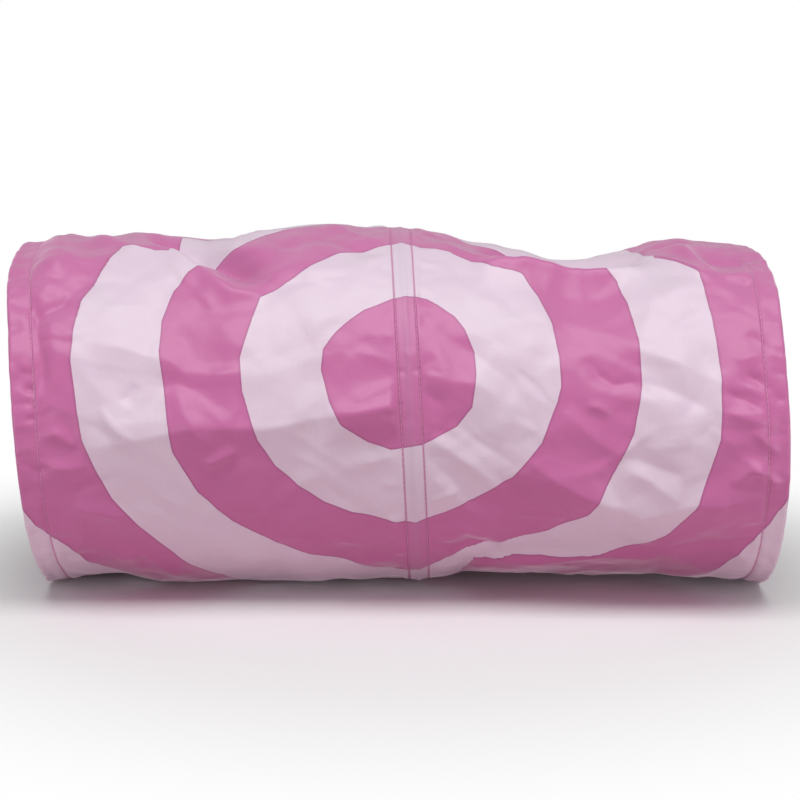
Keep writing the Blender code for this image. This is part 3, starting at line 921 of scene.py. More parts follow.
@dataclass(frozen=True)
class PrintedTaffeta:
    """Thin polyester taffeta, plain woven, calendered and printed with rings.

    The calendering gives the eye a broad satin gleam, and the crisp weave keeps its creases.
    """

    pink: str = "#c46da2"
    faded_pink: str = "#be6699"
    pale: str = "#dccad9"
    faded_pale: str = "#d9c4d5"
    bleed: str = "#9d5482"
    # the wire's grey through the thin cloth, darkened with painted shade of the wire
    wire_grey: str = "#a79fb2"
    gleam: str = "#f6dcec"
    # real threads lie 0.12 mm apart; drawn at 0.6 mm so that the weave shows close up
    thread_spacing: float = 0.6 * MM
    edge_wobble: float = 18 * MM
    edge_wander: float = 0.5 * MM
    fade_patch: float = 60 * MM
    crinkle_size: float = 9 * MM
    crinkle_depth: float = 0.5 * MM
    thread_depth: float = 0.04 * MM
    roughness: float = 0.44
    name: str = "printed_polyester_taffeta"

    def make(self) -> Material:
        """Builds the material on the cloth's own print map.

        Returns:
            The material.
        """
        finish, tree, shader = new_finish(
            self.name, Roughness=self.roughness, IOR=1.5, Specular_IOR_Level=0.45,
            Sheen_Weight=0.7, Sheen_Roughness=0.4, Sheen_Tint=srgb(self.gleam),
        )
        cloth = add_node(tree, "ShaderNodeUVMap", uv_map=CLOTH_MAP)
        wobble = add_node(
            tree, NOISE,
            {"Vector": cloth, "Scale": 1 / self.edge_wobble, "Detail": 2.0}, noise_dimensions="2D",
        )
        radius = add_node(tree, "ShaderNodeVectorMath", {0: cloth}, operation="LENGTH")
        wander = add_node(tree, MATH, {0: wobble, 1: self.edge_wander, 2: radius}, operation="MULTIPLY_ADD")
        rings = add_node(tree, MATH, {0: wander, 1: RING_WIDTH}, operation="DIVIDE")
        saw = add_node(tree, MATH, {0: rings, 1: 2.0}, operation="MODULO")
        odd = add_node(tree, MATH, {0: saw, 1: 1.0}, operation="GREATER_THAN")
        nearest = add_node(tree, MATH, {0: rings, 1: 0.5}, operation="PINGPONG")
        # the dye is darker along the edge of a pink ring, here in shares of a ring's width
        edge = add_node(
            tree, "ShaderNodeMapRange",
            {"Value": nearest, "From Min": 0.002, "From Max": 0.04, "To Min": 0.6, "To Max": 0.0},
            interpolation_type="SMOOTHSTEP",
        )
        tone = add_node(
            tree, NOISE,
            {"Vector": cloth, "Scale": 1 / self.fade_patch, "Detail": 4.0}, noise_dimensions="2D",
        )
        # where the band takes the wire's grey and its painted shade
        wire = add_node(tree, "ShaderNodeAttribute", attribute_name="wire_shows").outputs["Fac"]
        dyes = ("pink", "faded_pink", "pale", "faded_pale", "bleed", "wire_grey")
        layers = {dye: srgb(getattr(self, dye)) for dye in dyes}
        for name, factor, a, b in (
            ("faded", tone, "faded_pink", "pink"),
            ("cooler", tone, "faded_pale", "pale"),
            ("edged", edge, "faded", "bleed"),
            ("printed", odd, "edged", "cooler"),
            ("with_wire_and_shade", wire, "printed", "wire_grey"),
        ):
            mixed = {"Factor": factor, "A": layers[a], "B": layers[b]}
            layers[name] = add_node(tree, MIX, mixed, data_type="RGBA")
        feed(shader, {"Base Color": layers["with_wire_and_shade"], "Normal": self.weave(tree, cloth)})
        return finish

    def weave(self, tree: NodeTree, cloth: Node) -> Node:
        """Adds the threads and the finest crinkles as bump.

        Args:
            tree: The material's tree.
            cloth: The node that gives places on the flat cloth.

        Returns:
            The bump node.
        """
        bands = {}
        wave = {"Vector": cloth, "Scale": 1 / (20 * self.thread_spacing), "Distortion": 0.4, "Detail": 1.0}
        for number, direction in enumerate("XY"):
            settings = {"wave_type": "BANDS", "bands_direction": direction, "wave_profile": "SIN"}
            bands[number] = add_node(tree, "ShaderNodeTexWave", wave, **settings).outputs["Fac"]
        threads = add_node(tree, MATH, bands, operation="ADD")
        grain = {"Vector": cloth, "Scale": 1 / self.crinkle_size, "Detail": 3.0}
        grain |= {"Roughness": 0.55, "Distortion": 0.6}
        fine = add_node(tree, NOISE, grain, noise_dimensions="2D")
        crinkle = add_node(tree, BUMP, {"Height": fine, "Strength": 0.35, "Distance": self.crinkle_depth})
        bump = {"Height": threads, "Strength": 0.12, "Distance": self.thread_depth, "Normal": crinkle}
        return add_node(tree, BUMP, bump)


@dataclass(frozen=True)
class PlainTaffeta:
    """Undyed-looking pale taffeta of the lining and tapes, plain woven and left unprinted.

    It gives the eye a soft, slightly cooler pale lilac with a faint gleam along its threads.
    """

    colour: str = "#dccbd8"
    shade: str = "#d2bfce"
    roughness: float = 0.5
    patch: float = 40 * MM
    crinkle_size: float = 7 * MM
    crinkle_depth: float = 0.6 * MM
    name: str = "pale_polyester_taffeta"

    def make(self) -> Material:
        """Builds the material on Object coordinates.

        Returns:
            The material.
        """
        finish, tree, shader = new_finish(
            self.name, Roughness=self.roughness, IOR=1.5, Specular_IOR_Level=0.35,
            Sheen_Weight=0.15, Sheen_Roughness=0.45,
        )
        place = add_node(tree, "ShaderNodeTexCoord").outputs["Object"]
        tone = add_node(tree, NOISE, {"Vector": place, "Scale": 1 / self.patch, "Detail": 5.0})
        mixed = {"Factor": tone, "A": srgb(self.colour), "B": srgb(self.shade)}
        fine = add_node(tree, NOISE, {"Vector": place, "Scale": 1 / self.crinkle_size, "Detail": 4.0})
        bump = add_node(tree, BUMP, {"Height": fine, "Strength": 0.4, "Distance": self.crinkle_depth})
        feed(shader, {"Base Color": add_node(tree, MIX, mixed, data_type="RGBA"), "Normal": bump})
        return finish


@dataclass(frozen=True)
class CrinkleFilm:
    """Clear polypropylene film, cast and crumpled, between the outer cloth and the lining.

    It would give the eye sharp white glints; the cloth hides all but its edge.
    """

    colour: str = "#dcdce2"
    facet: float = 8 * MM
    facet_depth: float = 0.8 * MM
    name: str = "crumpled_clear_film"

    def make(self) -> Material:
        """Builds the material on Object coordinates.

        Returns:
            The material.
        """
        finish, tree, shader = new_finish(
            self.name, Roughness=0.16, IOR=1.49, Transmission_Weight=0.55, Alpha=1.0,
            Base_Color=srgb(self.colour),
        )
        place = add_node(tree, "ShaderNodeTexCoord").outputs["Object"]
        cells = add_node(
            tree, "ShaderNodeTexVoronoi",
            {"Vector": place, "Scale": 1 / self.facet}, feature="DISTANCE_TO_EDGE",
        )
        bump = {"Height": cells.outputs["Distance"], "Strength": 0.5, "Distance": self.facet_depth}
        feed(shader, {"Normal": add_node(tree, BUMP, bump)})
        return finish


@dataclass(frozen=True)
class StreakedMetal:
    """A bare metal whose roughness varies over the marks of its making."""

    colour: str
    name: str
    mark: float
    detail: float
    smoothest: float
    roughest: float

    def make(self) -> Material:
        """Builds the material on Object coordinates.

        Returns:
            The material.
        """
        finish, tree, shader = new_finish(self.name, Metallic=1.0, Base_Color=srgb(self.colour))
        place = add_node(tree, "ShaderNodeTexCoord").outputs["Object"]
        marks = add_node(tree, NOISE, {"Vector": place, "Scale": 1 / self.mark, "Detail": self.detail})
        span = {"Value": marks, "To Min": self.smoothest, "To Max": self.roughest}
        feed(shader, {"Roughness": add_node(tree, "ShaderNodeMapRange", span)})
        return finish


@dataclass(frozen=True)
class SpringSteel(StreakedMetal):
    """Patented and cold-drawn spring-steel wire, left bright.

    The die leaves fine lines along it, so that it gives the eye a dull grey streaky shine.
    """

    colour: str = "#a9abb0"
    name: str = "drawn_spring_steel"
    mark: float = 1.2 * MM
    detail: float = 2.0
    smoothest: float = 0.28
    roughest: float = 0.44


@dataclass(frozen=True)
class PlatedSleeve(StreakedMetal):
    """A zinc-plated steel ferrule, drawn and crimped.

    The plating gives the eye a paler, softer shine than the wire's.
    """

    colour: str = "#c9cacc"
    name: str = "zinc_plated_sleeve"
    mark: float = 3 * MM
    detail: float = 3.0
    smoothest: float = 0.28
    roughest: float = 0.5


@dataclass(frozen=True)
class SewingThread:
    """Spun polyester sewing thread, two plies twisted together, dyed mid-pink.

    It gives the eye a matte line, darker than the pale rings and paler than the pink ones.
    """

    colour: str = "#d58fb7"
    ply_length: float = 0.9 * MM
    ply_depth: float = 0.1 * MM
    name: str = "spun_polyester_thread"

    def make(self) -> Material:
        """Builds the material on Object coordinates.

        Returns:
            The material.
        """
        finish, tree, shader = new_finish(
            self.name, Roughness=0.7, Specular_IOR_Level=0.3, Sheen_Weight=0.1, Base_Color=srgb(self.colour)
        )
        place = add_node(tree, "ShaderNodeTexCoord").outputs["Object"]
        twist = add_node(
            tree, "ShaderNodeTexWave",
            {"Vector": place, "Scale": 1 / (20 * self.ply_length), "Distortion": 1.0},
            wave_type="BANDS", bands_direction="DIAGONAL",
        )
        bump = {"Height": twist.outputs["Fac"], "Strength": 0.5, "Distance": self.ply_depth}
        feed(shader, {"Normal": add_node(tree, BUMP, bump)})
        return finish


@dataclass(frozen=True)
class Finishes:
    """Every material of the tunnel, made once."""

    printed: Material
    plain: Material
    film: Material
    wire: Material
    sleeve: Material
    thread: Material

    @classmethod
    def make(cls) -> "Finishes":
        """Builds all the materials."""
        kinds = (PrintedTaffeta, PlainTaffeta, CrinkleFilm, SpringSteel, PlatedSleeve, SewingThread)
        return cls(*(kind().make() for kind in kinds))


@dataclass(frozen=True)
class StitchRow:
    """A row of lockstitches round the tunnel, laid by Geometry Nodes along its seam."""

    tree: NodeTree
    pitch: float = 4.0 * MM
    length: float = 3.3 * MM
    thread: float = 0.7 * MM
    sink: float = 0.25 * MM
    path_points: int = 720

    @staticmethod
    def lockstitches(finish: Material) -> NodeTree:
        """Builds the node tree that lays stitches along a closed line.

        Args:
            finish: The thread's material.

        Returns:
            The tree, with inputs for the stitch's sizes.
        """
        tree = bpy.data.node_groups.new("lockstitch_row", "GeometryNodeTree")
        tree.interface.new_socket("Seam", in_out="INPUT", socket_type="NodeSocketGeometry")
        for name in ("Pitch", "Length", "Thread", "Sink"):
            tree.interface.new_socket(name, in_out="INPUT", socket_type="NodeSocketFloat")
        tree.interface.new_socket("Stitches", in_out="OUTPUT", socket_type="NodeSocketGeometry")
        seam = add_node(tree, "NodeGroupInput").outputs
        line = add_node(tree, "GeometryNodeMeshToCurve", {"Mesh": seam["Seam"]})
        spaced = add_node(
            tree, "GeometryNodeResampleCurve", {"Curve": line, "Length": seam["Pitch"]}, mode="LENGTH"
        )
        half, back, down, radius = (
            add_node(tree, MATH, {0: seam[size], 1: share}, operation="MULTIPLY")
            for size, share in (("Length", 0.5), ("Length", -0.5), ("Sink", -1.0), ("Thread", 0.5))
        )
        start, end, crown = (
            add_node(tree, "ShaderNodeCombineXYZ", place)
            for place in ({"X": back, "Z": down}, {"X": half, "Z": down}, {"Z": seam["Sink"]})
        )
        arc = add_node(
            tree, "GeometryNodeCurveQuadraticBezier",
            {"Resolution": 4, "Start": start, "Middle": crown, "End": end},
        )
        section = add_node(tree, "GeometryNodeCurvePrimitiveCircle", {"Resolution": 6, "Radius": radius})
        stitch = add_node(
            tree, "GeometryNodeCurveToMesh", {"Curve": arc, "Profile Curve": section, "Fill Caps": True}
        )
        tangent = add_node(tree, "GeometryNodeInputTangent")
        outward = add_node(
            tree, "GeometryNodeInputNamedAttribute", {"Name": "outward"}, data_type="FLOAT_VECTOR"
        )
        turned = add_node(
            tree, "FunctionNodeAxesToRotation",
            {"Primary Axis": tangent, "Secondary Axis": outward.outputs["Attribute"]},
            primary_axis="X", secondary_axis="Z",
        )
        laid = add_node(
            tree, "GeometryNodeInstanceOnPoints", {"Points": spaced, "Instance": stitch, "Rotation": turned}
        )
        real = add_node(tree, "GeometryNodeRealizeInstances", {"Geometry": laid})
        soft = add_node(tree, "GeometryNodeSetShadeSmooth", {"Geometry": real})
        dyed = add_node(tree, "GeometryNodeSetMaterial", {"Geometry": soft, "Material": finish})
        add_node(tree, "NodeGroupOutput", {"Stitches": dyed})
        return tree

    def lay(self, name: str, skin: Skin, station: float, insets: tuple) -> Object:
        """Lays one row, outside and inside, and turns it into a plain mesh.

        Args:
            name: The row's name.
            skin: The cloth that it holds down.
            station: Where the row runs, in metres.
            insets: The depths of its outer and inner thread under the cloth's outer face.

        Returns:
            The row of stitches.
        """
        count = self.path_points
        angle = np.arange(count) * TURN / count
        stations = np.full_like(angle, station)
        points, outward, edges = [], [], []
        for number, (inset, face) in enumerate(zip(insets, (1, -1))):
            line = skin.place(stations, angle, np.full_like(angle, inset))
            above = skin.place(stations, angle, np.full_like(angle, inset - MM)) - line
            points.extend(tuple(map(float, p)) for p in line)
            outward.append(face * above / np.linalg.norm(above, axis=1)[:, None])
            edges.extend((number * count + i, number * count + (i + 1) % count) for i in range(count))
        mesh = bpy.data.meshes.new(name + "_seam")
        mesh.from_pydata(points, edges, [])
        layer = mesh.attributes.new("outward", "FLOAT_VECTOR", "POINT")
        layer.data.foreach_set("vector", np.concatenate(outward).astype(np.float32).ravel())
        row = add_object(name, mesh)
        modifier = row.modifiers.new("stitches", "NODES")
        modifier.node_group = self.tree
        for item in self.tree.interface.items_tree:
            if item.in_out == "INPUT" and item.name != "Seam":
                modifier[item.identifier] = getattr(self, item.name.lower())
        bpy.context.view_layer.update()
        evaluated = row.evaluated_get(bpy.context.evaluated_depsgraph_get())
        solid = bpy.data.meshes.new_from_object(evaluated)
        row.modifiers.remove(modifier)
        row.data = solid
        return row


@dataclass
class SubAssembly:
    """Pieces that take their place from one skin and their looks from one set of finishes."""

    skin: Skin
    finishes: Finishes
    stitches: StitchRow
    pieces: dict = field(default_factory=dict, init=False)

    def wrap(
        self, key: str, name: str, profile: list, columns: int, finish: Material,
        thickness: float = CLOTH_THICKNESS,
    ) -> None:
        """Wraps a sheet round the tunnel along a profile, with its print map and its thickness.

        Args:
            key: The key that the sheet is kept under.
            name: The piece's name.
            profile: (station, inset) pairs in metres, in order across the sheet.
            columns: How many steps go round the tunnel.
            finish: The sheet's material.
            thickness: The sheet's thickness in metres.
        """
        turn = np.arange(columns + 1) * TURN / columns - math.pi
        turn = turn - FRONT_DENSITY * np.sin(turn)
        stations, insets = np.array(profile).T
        station, angle = np.meshgrid(stations, turn, indexing="ij")
        inset = np.repeat(insets[:, None], columns + 1, 1)
        points = self.skin.place(station, angle, inset)[:, :columns].reshape(-1, 3)
        corners = ALONG_FIRST[::-1] if stations[-1] > stations[0] else ALONG_FIRST
        size = (len(profile) - 1, columns, corners)
        piece = mesh_piece(name, points, grid_faces(*size), finish)
        flat = self.skin.flat(station, angle).reshape(-1, 2)[np.ravel(grid_faces(*size, closed=False))]
        piece.data.uv_layers.new(name=CLOTH_MAP).data.foreach_set("uv", flat.astype(np.float32).ravel())
        thicken(piece, thickness)
        self.pieces[key] = piece

    def dress(self, key: str, body: str, node: str, slot: str) -> Object:
        """Says what a piece rides on and which node it stands for.

        Args:
            key: The key that the piece is kept under.
            body: The CAD body that carries it.
            node: The CAD node that it replaces.
            slot: The record's material slot; not used.

        Returns:
            The piece.
        """
        piece = self.pieces[key]
        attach(piece, body)
        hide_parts(node)
        return piece


@dataclass
class MiddleCasing(SubAssembly):
    """The middle hoop's sewn channel: band, tape and two stitched rows."""

    half_width: float = 6.2 * MM
    tuck: float = 13.5 * MM
    columns: int = 314
    # the depths of the stitches' outer and inner thread
    stitch_depths: tuple = (0.32 * MM, 3.02 * MM)
    # the grey of the wire in the cloth over it, with painted shade of the wire: everywhere, along its line,
    # and where that runs
    haze: float = 0.05
    line_grey: float = 0.09
    line_station: float = -1.2 * MM
    line_spread: float = 3 * MM

    @staticmethod
    def mirrored(half: list) -> list:
        """Gives a profile from its left half, as (station in metres, depth in mm) pairs."""
        half = [(a, b * MM) for a, b in half]
        return half + [(-a, b) for a, b in reversed(half[:-1])]

    def build(self) -> None:
        """Builds every piece of the channel."""
        w, made = self.half_width, self.finishes
        band = self.mirrored([
            (-self.tuck, 0.95), (-w - 1.2 * MM, 0.95), (-w - 0.6 * MM, 0.9), (-w - 0.25 * MM, 0.68),
            (-w + 0.1 * MM, 0.4), (-w + 0.9 * MM, 0.27), (-4.2 * MM, 0.2), (-2.6 * MM, 0.18),
            (-1.7 * MM, -0.05), (-0.8 * MM, -0.3), (0, -0.36),
        ])
        self.wrap("band", "middle_band_cloth", band, self.columns, made.printed)
        self.show_wire(self.pieces["band"], band)
        tape = self.mirrored([(-12 * MM, 2.5), (-w - 0.6 * MM, 2.6), (-4 * MM, 3.6), (0, 4.1)])
        self.wrap("tape", "middle_casing_tape_cloth", tape, self.columns, made.plain)
        for side in Side:
            name = f"middle_stitches_{side.word}"
            station = side.value * self.skin.seam_station
            self.pieces[name] = self.stitches.lay(name, self.skin, station, self.stitch_depths)

    def show_wire(self, piece: Object, profile: list) -> None:
        """Marks where the wire shows grey through the thin cloth, with painted shade along it.

        Args:
            piece: The band.
            profile: Its (station, inset) pairs.
        """
        layer = piece.data.attributes.new("wire_shows", "FLOAT", "POINT")
        beside = [(station - self.line_station) / self.line_spread for station, _ in profile]
        shares = [self.haze + self.line_grey * math.exp(-(far**2)) for far in beside]
        layer.data.foreach_set("value", np.repeat(np.array(shares, np.float32), self.columns))

    def declare(self) -> None:
        """Says what each piece rides on and replaces."""
        band = self.dress("band", "middle", "middle_band", "printed_taffeta")
        tape = self.dress("tape", "middle", "middle_casing_tape", "pale_taffeta")
        for word in (side.word for side in Side):
            self.dress(f"middle_stitches_{word}", "middle", f"middle_stitching_{word}", "pink_thread")


@dataclass
class WireHoop(SubAssembly):
    """A spring-steel hoop with the crimped ferrule that joins its ends."""

    word: str
    body: str
    station: float
    inset: float = HOOP_DEPTH_MM * MM
    wire_radius: float = 1.0 * MM
    gap: float = 1.0 * MM
    sleeve_length: float = 14 * MM
    sleeve_radius: float = 1.3 * MM
    # the sleeve is crimped half-way to each of its ends, and its lip is rounded down to the wire
    crimp_depth: float = 0.12 * MM
    crimp_spread: float = 0.12
    crimp_places: tuple = (-0.5, 0.5)
    lip_gap: float = 0.02 * MM
    lip_rounding: float = 0.06 * MM
    # points along the tube, and faces round it
    wire_grid: tuple = (400, 12)
    sleeve_grid: tuple = (45, 20)

    def path(self, start: float, end: float, count: int) -> np.ndarray:
        """Gives points along the middle of the wire.

        Args:
            start: The first point's angle in radians.
            end: The last point's angle.
            count: How many points.

        Returns:
            The points.
        """
        angle = np.linspace(start, end, count)
        stations = np.full_like(angle, self.station)
        return self.skin.place(stations, angle, np.full_like(angle, self.inset))

    def sweep(self, key: str, path: np.ndarray, radii: np.ndarray, facets: int, finish: Material) -> None:
        """Sweeps a round section along an open path and closes its ends.

        Args:
            key: The key that the tube is kept under, and the end of its name.
            path: Points along the middle of the tube.
            radii: The tube's radius at each point.
            facets: Faces round the section.
            finish: The tube's material.
        """
        forward = np.gradient(path, axis=0)
        forward /= np.linalg.norm(forward, axis=1)[:, None]
        side = np.cross(forward, np.array([1.0, 0.0, 0.0]))
        side /= np.linalg.norm(side, axis=1)[:, None]
        up = np.cross(side, forward)
        turn = np.arange(facets) * TURN / facets
        ring = side[:, None] * np.cos(turn)[None, :, None] + up[:, None] * np.sin(turn)[None, :, None]
        points = path[:, None] + ring * radii[:, None, None]
        last = len(path) - 1
        faces = grid_faces(last, facets, ALONG_FIRST)
        faces.append(tuple(reversed(range(facets))))
        faces.append(tuple(last * facets + c for c in range(facets)))
        piece = mesh_piece(f"{self.word}_hoop_{key}", points.reshape(-1, 3), faces, finish)
        shape = bmesh.new()
        shape.from_mesh(piece.data)
        bmesh.ops.recalc_face_normals(shape, faces=shape.faces)
        shape.to_mesh(piece.data)
        shape.free()
        self.pieces[key] = piece

    def build(self) -> None:
        """Builds the wire, open by its gap at the bottom, and the sleeve over the gap."""
        radius, made = self.skin.form.radius, self.finishes
        low = -math.pi / 2
        half = self.gap / 2 / radius
        count, facets = self.wire_grid
        path = self.path(low + half, low + TURN - half, count)
        self.sweep("wire", path, np.full(count, self.wire_radius), facets, made.wire)
        half = self.sleeve_length / 2 / radius
        count, facets = self.sleeve_grid
        path = self.path(low - half, low + half, count)
        along = np.linspace(-1, 1, count)
        crimps = sum(np.exp(-(((along + p) / self.crimp_spread) ** 2)) for p in self.crimp_places)
        radii = self.sleeve_radius - self.crimp_depth * crimps
        radii[[0, -1]] = self.wire_radius + self.lip_gap
        radii[[1, -2]] = self.sleeve_radius - self.lip_rounding
        self.sweep("sleeve", path, radii, facets, made.sleeve)

    def declare(self) -> None:
        """Says what the hoop rides on and replaces."""
        self.dress("wire", self.body, f"{self.word}_hoop", "spring_steel")
        self.dress("sleeve", self.body, f"{self.word}_hoop_ferrule", "crimped_sleeve")


@dataclass
class HalfPanel(SubAssembly):
    """One half's layers: outer cloth, crinkle film, lining and the tape on its seam."""

    side: Side
    rows: int = 126
    columns: int = 350
    film: float = 0.1 * MM
    # how far from its stitched edges a layer takes to reach its full depth
    edge_run: float = 25 * MM
    # the outer cloth's edges under the middle stitches and the hem, and how they dip, in mm
    shell_edges: tuple = (6.98, 235.25)
    edge_dip: tuple = (0.42, 0.14)
    dip_run: float = 0.9 * MM
    # each inner layer's depth at its stitched edges and in the middle of the panel
    film_depths: tuple = (1.5 * MM, 2.0 * MM)
    lining_depths: tuple = (1.9 * MM, 3.2 * MM)
    # the seam tape's depth at its ends, and how much deeper it lies in the middle, in mm
    tape_depth: float = 2.8
    tape_drop: float = 1.3
    tape_half_width: float = 6 * MM
    tape_grid: tuple = (70, 6)
    # how far the joint moves the mouth
    travel: float = 0.215

    def rise(self, stations: np.ndarray) -> np.ndarray:
        """Rises from 0 at a layer's stitched edges to 1, at distances from the middle hoop."""
        rise = smooth_step((stations - PANEL_START) / self.edge_run)
        return rise * smooth_step((PANEL_END - stations) / self.edge_run)

    def profile(self, rows: int, edge_inset: float, middle_inset: float) -> list:
        """Gives a layer's (station, inset) pairs from the middle seam to the hem.

        Args:
            rows: How many steps.
            edge_inset: The layer's depth where it is sewn in.
            middle_inset: Its depth in the middle of the panel.

        Returns:
            The pairs in metres.
        """
        stations = np.linspace(PANEL_START, PANEL_END, rows + 1)
        insets = edge_inset + (middle_inset - edge_inset) * self.rise(stations)
        return [(self.side.value * s, i) for s, i in zip(stations, insets)]

    def shell_profile(self) -> list:
        """Gives the outer cloth's profile, which dips to its two stitched edges.

        Returns:
            (station, inset) pairs in metres.
        """
        pairs = self.profile(self.rows, 0.0, 0.0)
        sign = self.side.value
        inner, outer = (sign * edge * MM for edge in self.shell_edges)
        low, high = (dip * MM for dip in self.edge_dip)
        pairs[0] = (inner, low)
        pairs[-1] = (outer, low)
        pairs.insert(1, (inner + sign * self.dip_run, high))
        pairs.insert(-1, (outer - sign * self.dip_run, high))
        return pairs

    def build(self) -> None:
        """Builds the half's four layers."""
        word, made = self.side.word, self.finishes
        rows, columns = self.rows // 2, self.columns // 2
        self.wrap("shell", f"{word}_outer_cloth", self.shell_profile(), self.columns, made.printed)
        film = self.profile(rows, *self.film_depths)
        self.wrap("film", f"{word}_film_sheet", film, columns, made.film, self.film)
        lining = self.profile(rows, *self.lining_depths)
        self.wrap("lining", f"{word}_lining_cloth", lining, columns, made.plain)
        self.pieces["tape"] = self.seam_tape()

    def seam_tape(self) -> Object:
        """Builds the narrow tape that covers the lining's lengthwise seam at the back.

        Returns:
            The tape.
        """
        half_turn = self.tape_half_width / self.skin.form.radius
        rows, columns = self.tape_grid
        stations = np.linspace(PANEL_START + MM, PANEL_END - MM, rows + 1) * self.side.value
        angles = math.pi + np.linspace(-half_turn, half_turn, columns + 1)
        station, angle = np.meshgrid(stations, angles, indexing="ij")
        depth = self.tape_depth + self.tape_drop * self.rise(np.abs(station))
        points = self.skin.place(station, angle, depth * MM)
        corners = DOWN_FIRST if self.side is Side.RIGHT else DOWN_FIRST[::-1]
        faces = grid_faces(rows, columns, corners, closed=False)
        name = f"{self.side.word}_seam_tape_cloth"
        piece = mesh_piece(name, points.reshape(-1, 3), faces, self.finishes.plain)
        thicken(piece, CLOTH_THICKNESS)
        return piece

    def declare(self) -> None:
        """Says what each layer rides on and replaces, and gives it a mesh of its own."""
        word, form = self.side.word, self.skin.form
        girth = form.girth
        end_shift = getattr(form, word).shift - form.middle.shift
        for key, node, slot, flat, held in (
            ("shell", "shell", "printed_taffeta", (0.240, girth), "hung"),
            ("film", "crinkle_film", "crinkle_film", (0.238, girth * 0.99), "hung"),
            ("lining", "lining", "pale_taffeta", (0.238, girth * 0.98), "hung"),
            ("tape", "seam_tape", "pale_taffeta", (0.012, 0.238), "stretched"),
        ):
            piece = self.dress(key, "middle", f"{word}_{node}", slot)
            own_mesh(piece)


@dataclass
class EndHem(SubAssembly):
    """The hem at one mouth, folded round its hoop and stitched down."""

    side: Side
    columns: int = 400
    # the depths of the stitches' outer and inner thread
    stitch_depths: tuple = (0.36 * MM, 3.42 * MM)
    # the outer and the inner leaf, as (station, depth) pairs in millimetres
    outer_leaf: tuple = (
        (232.6, 0.95), (233.8, 0.95), (234.9, 0.9), (235.5, 0.72), (235.9, 0.38), (236.8, 0.15),
        (238.4, -0.05), (240.4, 0.05), (242.4, 0.25), (244.2, 0.3), (245.7, 0.12),
    )
    inner_leaf: tuple = (
        (244.6, 4.45), (242.0, 4.1), (239.0, 3.6), (236.5, 3.1), (234.6, 2.95), (233.0, 3.0),
    )

    def profile(self) -> list:
        """Gives the hem's profile, from under the shell round the wire and back.

        Returns:
            (station, inset) pairs in metres.
        """
        roll = []
        for degrees in range(105, -106, -15):
            turn = math.radians(degrees)
            depth = HOOP_DEPTH_MM - HOOP_DEPTH_MM * math.sin(turn)
            roll.append((HOOP_MM + HOOP_DEPTH_MM * math.cos(turn), depth))
        pairs = [*self.outer_leaf, *roll, *self.inner_leaf]
        return [(self.side.value * s * MM, i * MM) for s, i in pairs]

    def build(self) -> None:
        """Builds the folded hem and its row of stitches."""
        word = self.side.word
        self.wrap("hem", f"{word}_hem_cloth", self.profile(), self.columns, self.finishes.printed)
        station = self.side.value * self.skin.hem_station
        row = self.stitches.lay(f"{word}_hem_stitches", self.skin, station, self.stitch_depths)
        self.pieces["stitches"] = row

    def declare(self) -> None:
        """Says what the hem rides on and replaces."""
        word = self.side.word
        hem = self.dress("hem", f"{word}_end", f"{word}_hem", "printed_taffeta")
        self.dress("stitches", f"{word}_end", f"{word}_hem_stitching", "pink_thread")


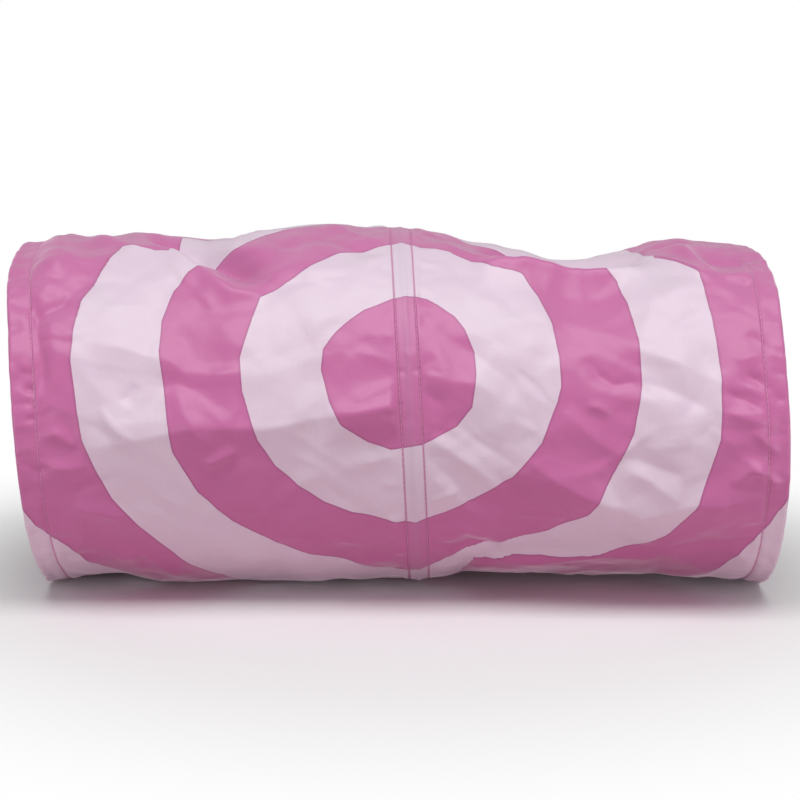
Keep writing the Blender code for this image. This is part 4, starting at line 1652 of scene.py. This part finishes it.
@dataclass
class Studio:
    """Plain pale floor, soft light from above and the camera in front."""

    floor_half: float = 6.0
    floor_paint: str = "#f3f3f3"
    # what the floor throws back on to the object
    floor_glow: str = "#e4cdd4"
    # distances at which the floor starts and ends to fade into white
    fade: tuple = (0.22, 0.5)
    world_light: float = 0.23
    lens: float = 86.8
    sensor: float = 36.0
    frame_px: float = 800.0
    axis_row: float = 404.0
    roll: float = math.radians(0.3)
    axis_height: float = 0.1237

    def build(self) -> None:
        """Builds the whole studio."""
        self.build_floor()
        self.build_world()
        self.build_lights()
        self.build_camera()

    @staticmethod
    def seen(tree: NodeTree, rays: bpy.types.bpy_prop_collection) -> Node:
        """Adds the nodes that find rays of the camera, a gloss or a glass.

        Args:
            tree: The tree that they go into.
            rays: The outputs of its Light Path.

        Returns:
            The last node, which gives 1 for those rays.
        """
        seen = add_node(
            tree, MATH, {0: rays["Is Camera Ray"], 1: rays["Is Glossy Ray"]}, operation="MAXIMUM"
        )
        return add_node(tree, MATH, {0: seen, 1: rays["Is Transmission Ray"]}, operation="MAXIMUM")

    def build_floor(self) -> None:
        """Builds the floor, white to the camera away from the object's shadow."""
        s = self.floor_half
        finish, tree, shader = new_finish("matt_white_floor", Roughness=0.9, Specular_IOR_Level=0.1)
        floor = mesh_piece("floor", [(-s, -s, 0), (s, -s, 0), (s, s, 0), (-s, s, 0)], [(0, 1, 2, 3)], finish)
        place = add_node(tree, "ShaderNodeTexCoord").outputs["Object"]
        away = add_node(tree, "ShaderNodeVectorMath", {0: place}, operation="LENGTH")
        fade = add_node(
            tree, "ShaderNodeMapRange",
            {"Value": away, "From Min": self.fade[0], "From Max": self.fade[1]},
            interpolation_type="SMOOTHSTEP",
        )
        rays = add_node(tree, "ShaderNodeLightPath").outputs
        paint = {"Factor": rays["Is Camera Ray"], "A": srgb(self.floor_glow), "B": srgb(self.floor_paint)}
        feed(shader, {"Base Color": add_node(tree, MIX, paint, data_type="RGBA")})
        share = add_node(tree, MATH, {0: self.seen(tree, rays), 1: fade}, operation="MULTIPLY")
        white = add_node(tree, "ShaderNodeEmission", {"Color": (1, 1, 1, 1), "Strength": 1.0})
        mix = add_node(tree, "ShaderNodeMixShader", {0: share, 1: shader, 2: white})
        feed(tree.nodes["Material Output"], {"Surface": mix})

    def build_world(self) -> None:
        """Builds the world: white where it is seen, dimmer where it lights."""
        world = bpy.data.worlds.new("studio")
        world.use_nodes = True
        tree = world.node_tree
        rays = add_node(tree, "ShaderNodeLightPath").outputs
        level = add_node(
            tree, "ShaderNodeMapRange",
            {"Value": self.seen(tree, rays), "To Min": self.world_light, "To Max": 1.0},
        )
        feed(tree.nodes["Background"], {"Strength": level, "Color": (1, 1, 1, 1)})
        bpy.context.scene.world = world

    def build_lights(self) -> None:
        """Builds a wide soft lamp overhead and a faint low one beyond each mouth."""
        for name, place, (wide, high), energy, target in (
            ("overhead", (0.03, -0.56, 1.38), (1.4, 0.7), 15.1, (0, 0, self.axis_height)),
            ("low_left", (-0.72, -0.62, 0.10), (0.4, 0.16), 1.0, (-0.22, -0.08, 0.03)),
            ("low_right", (0.72, -0.62, 0.10), (0.4, 0.16), 1.15, (0.22, -0.08, 0.03)),
        ):
            lamp = bpy.data.lights.new(name, "AREA")
            lamp.shape = "RECTANGLE"
            lamp.size = wide
            lamp.size_y = high
            lamp.energy = energy
            holder = add_object(name, lamp)
            holder.location = place
            aim = Vector(target) - holder.location
            holder.rotation_euler = aim.to_track_quat("-Z", "Y").to_euler()

    def build_camera(self) -> None:
        """Places the camera at the photograph's viewing angle."""
        lens = bpy.data.cameras.new("front")
        lens.lens = self.lens
        lens.sensor_width = self.sensor
        lens.sensor_fit = "HORIZONTAL"
        camera = add_object("front", lens)
        away = Vector((0, -math.cos(CAMERA_ELEVATION), math.sin(CAMERA_ELEVATION)))
        axis = Vector((CAMERA_X, 0, self.axis_height))
        camera.location = axis + away * CAMERA_DISTANCE
        focal_px = self.lens / self.sensor * self.frame_px
        rise = math.atan((self.axis_row - self.frame_px / 2) / focal_px)
        tilt = Matrix.Rotation(math.pi / 2 - CAMERA_ELEVATION + rise, 4, "X")
        camera.rotation_euler = (tilt @ Matrix.Rotation(self.roll, 4, "Z")).to_euler()
        bpy.context.scene.camera = camera


def main() -> None:
    """Builds the tunnel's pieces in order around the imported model."""
    logging.basicConfig(level=logging.INFO, format="%(name)s %(message)s")
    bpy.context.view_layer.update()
    bpy.context.scene.view_settings.view_transform = "Standard"
    Studio().build()
    skin = Skin.creased(StandingForm(), SlackCloth())
    LOG.info("cloth surface creased")
    finishes = Finishes.make()
    shared = (skin, finishes, StitchRow(StitchRow.lockstitches(finishes.thread)))
    assemblies = [MiddleCasing(*shared), WireHoop(*shared, "middle", "middle", 0.0)]
    for side in Side:
        station = side.value * HOOP_MM * MM
        assemblies.append(HalfPanel(*shared, side))
        assemblies.append(WireHoop(*shared, side.word, f"{side.word}_end", station))
        assemblies.append(EndHem(*shared, side))
    for assembly in assemblies:
        assembly.build()
        assembly.declare()
        names = ", ".join(piece.name for piece in assembly.pieces.values())
        LOG.info("%s: %s", type(assembly).__name__, names)


if __name__ == "__main__":
    main()
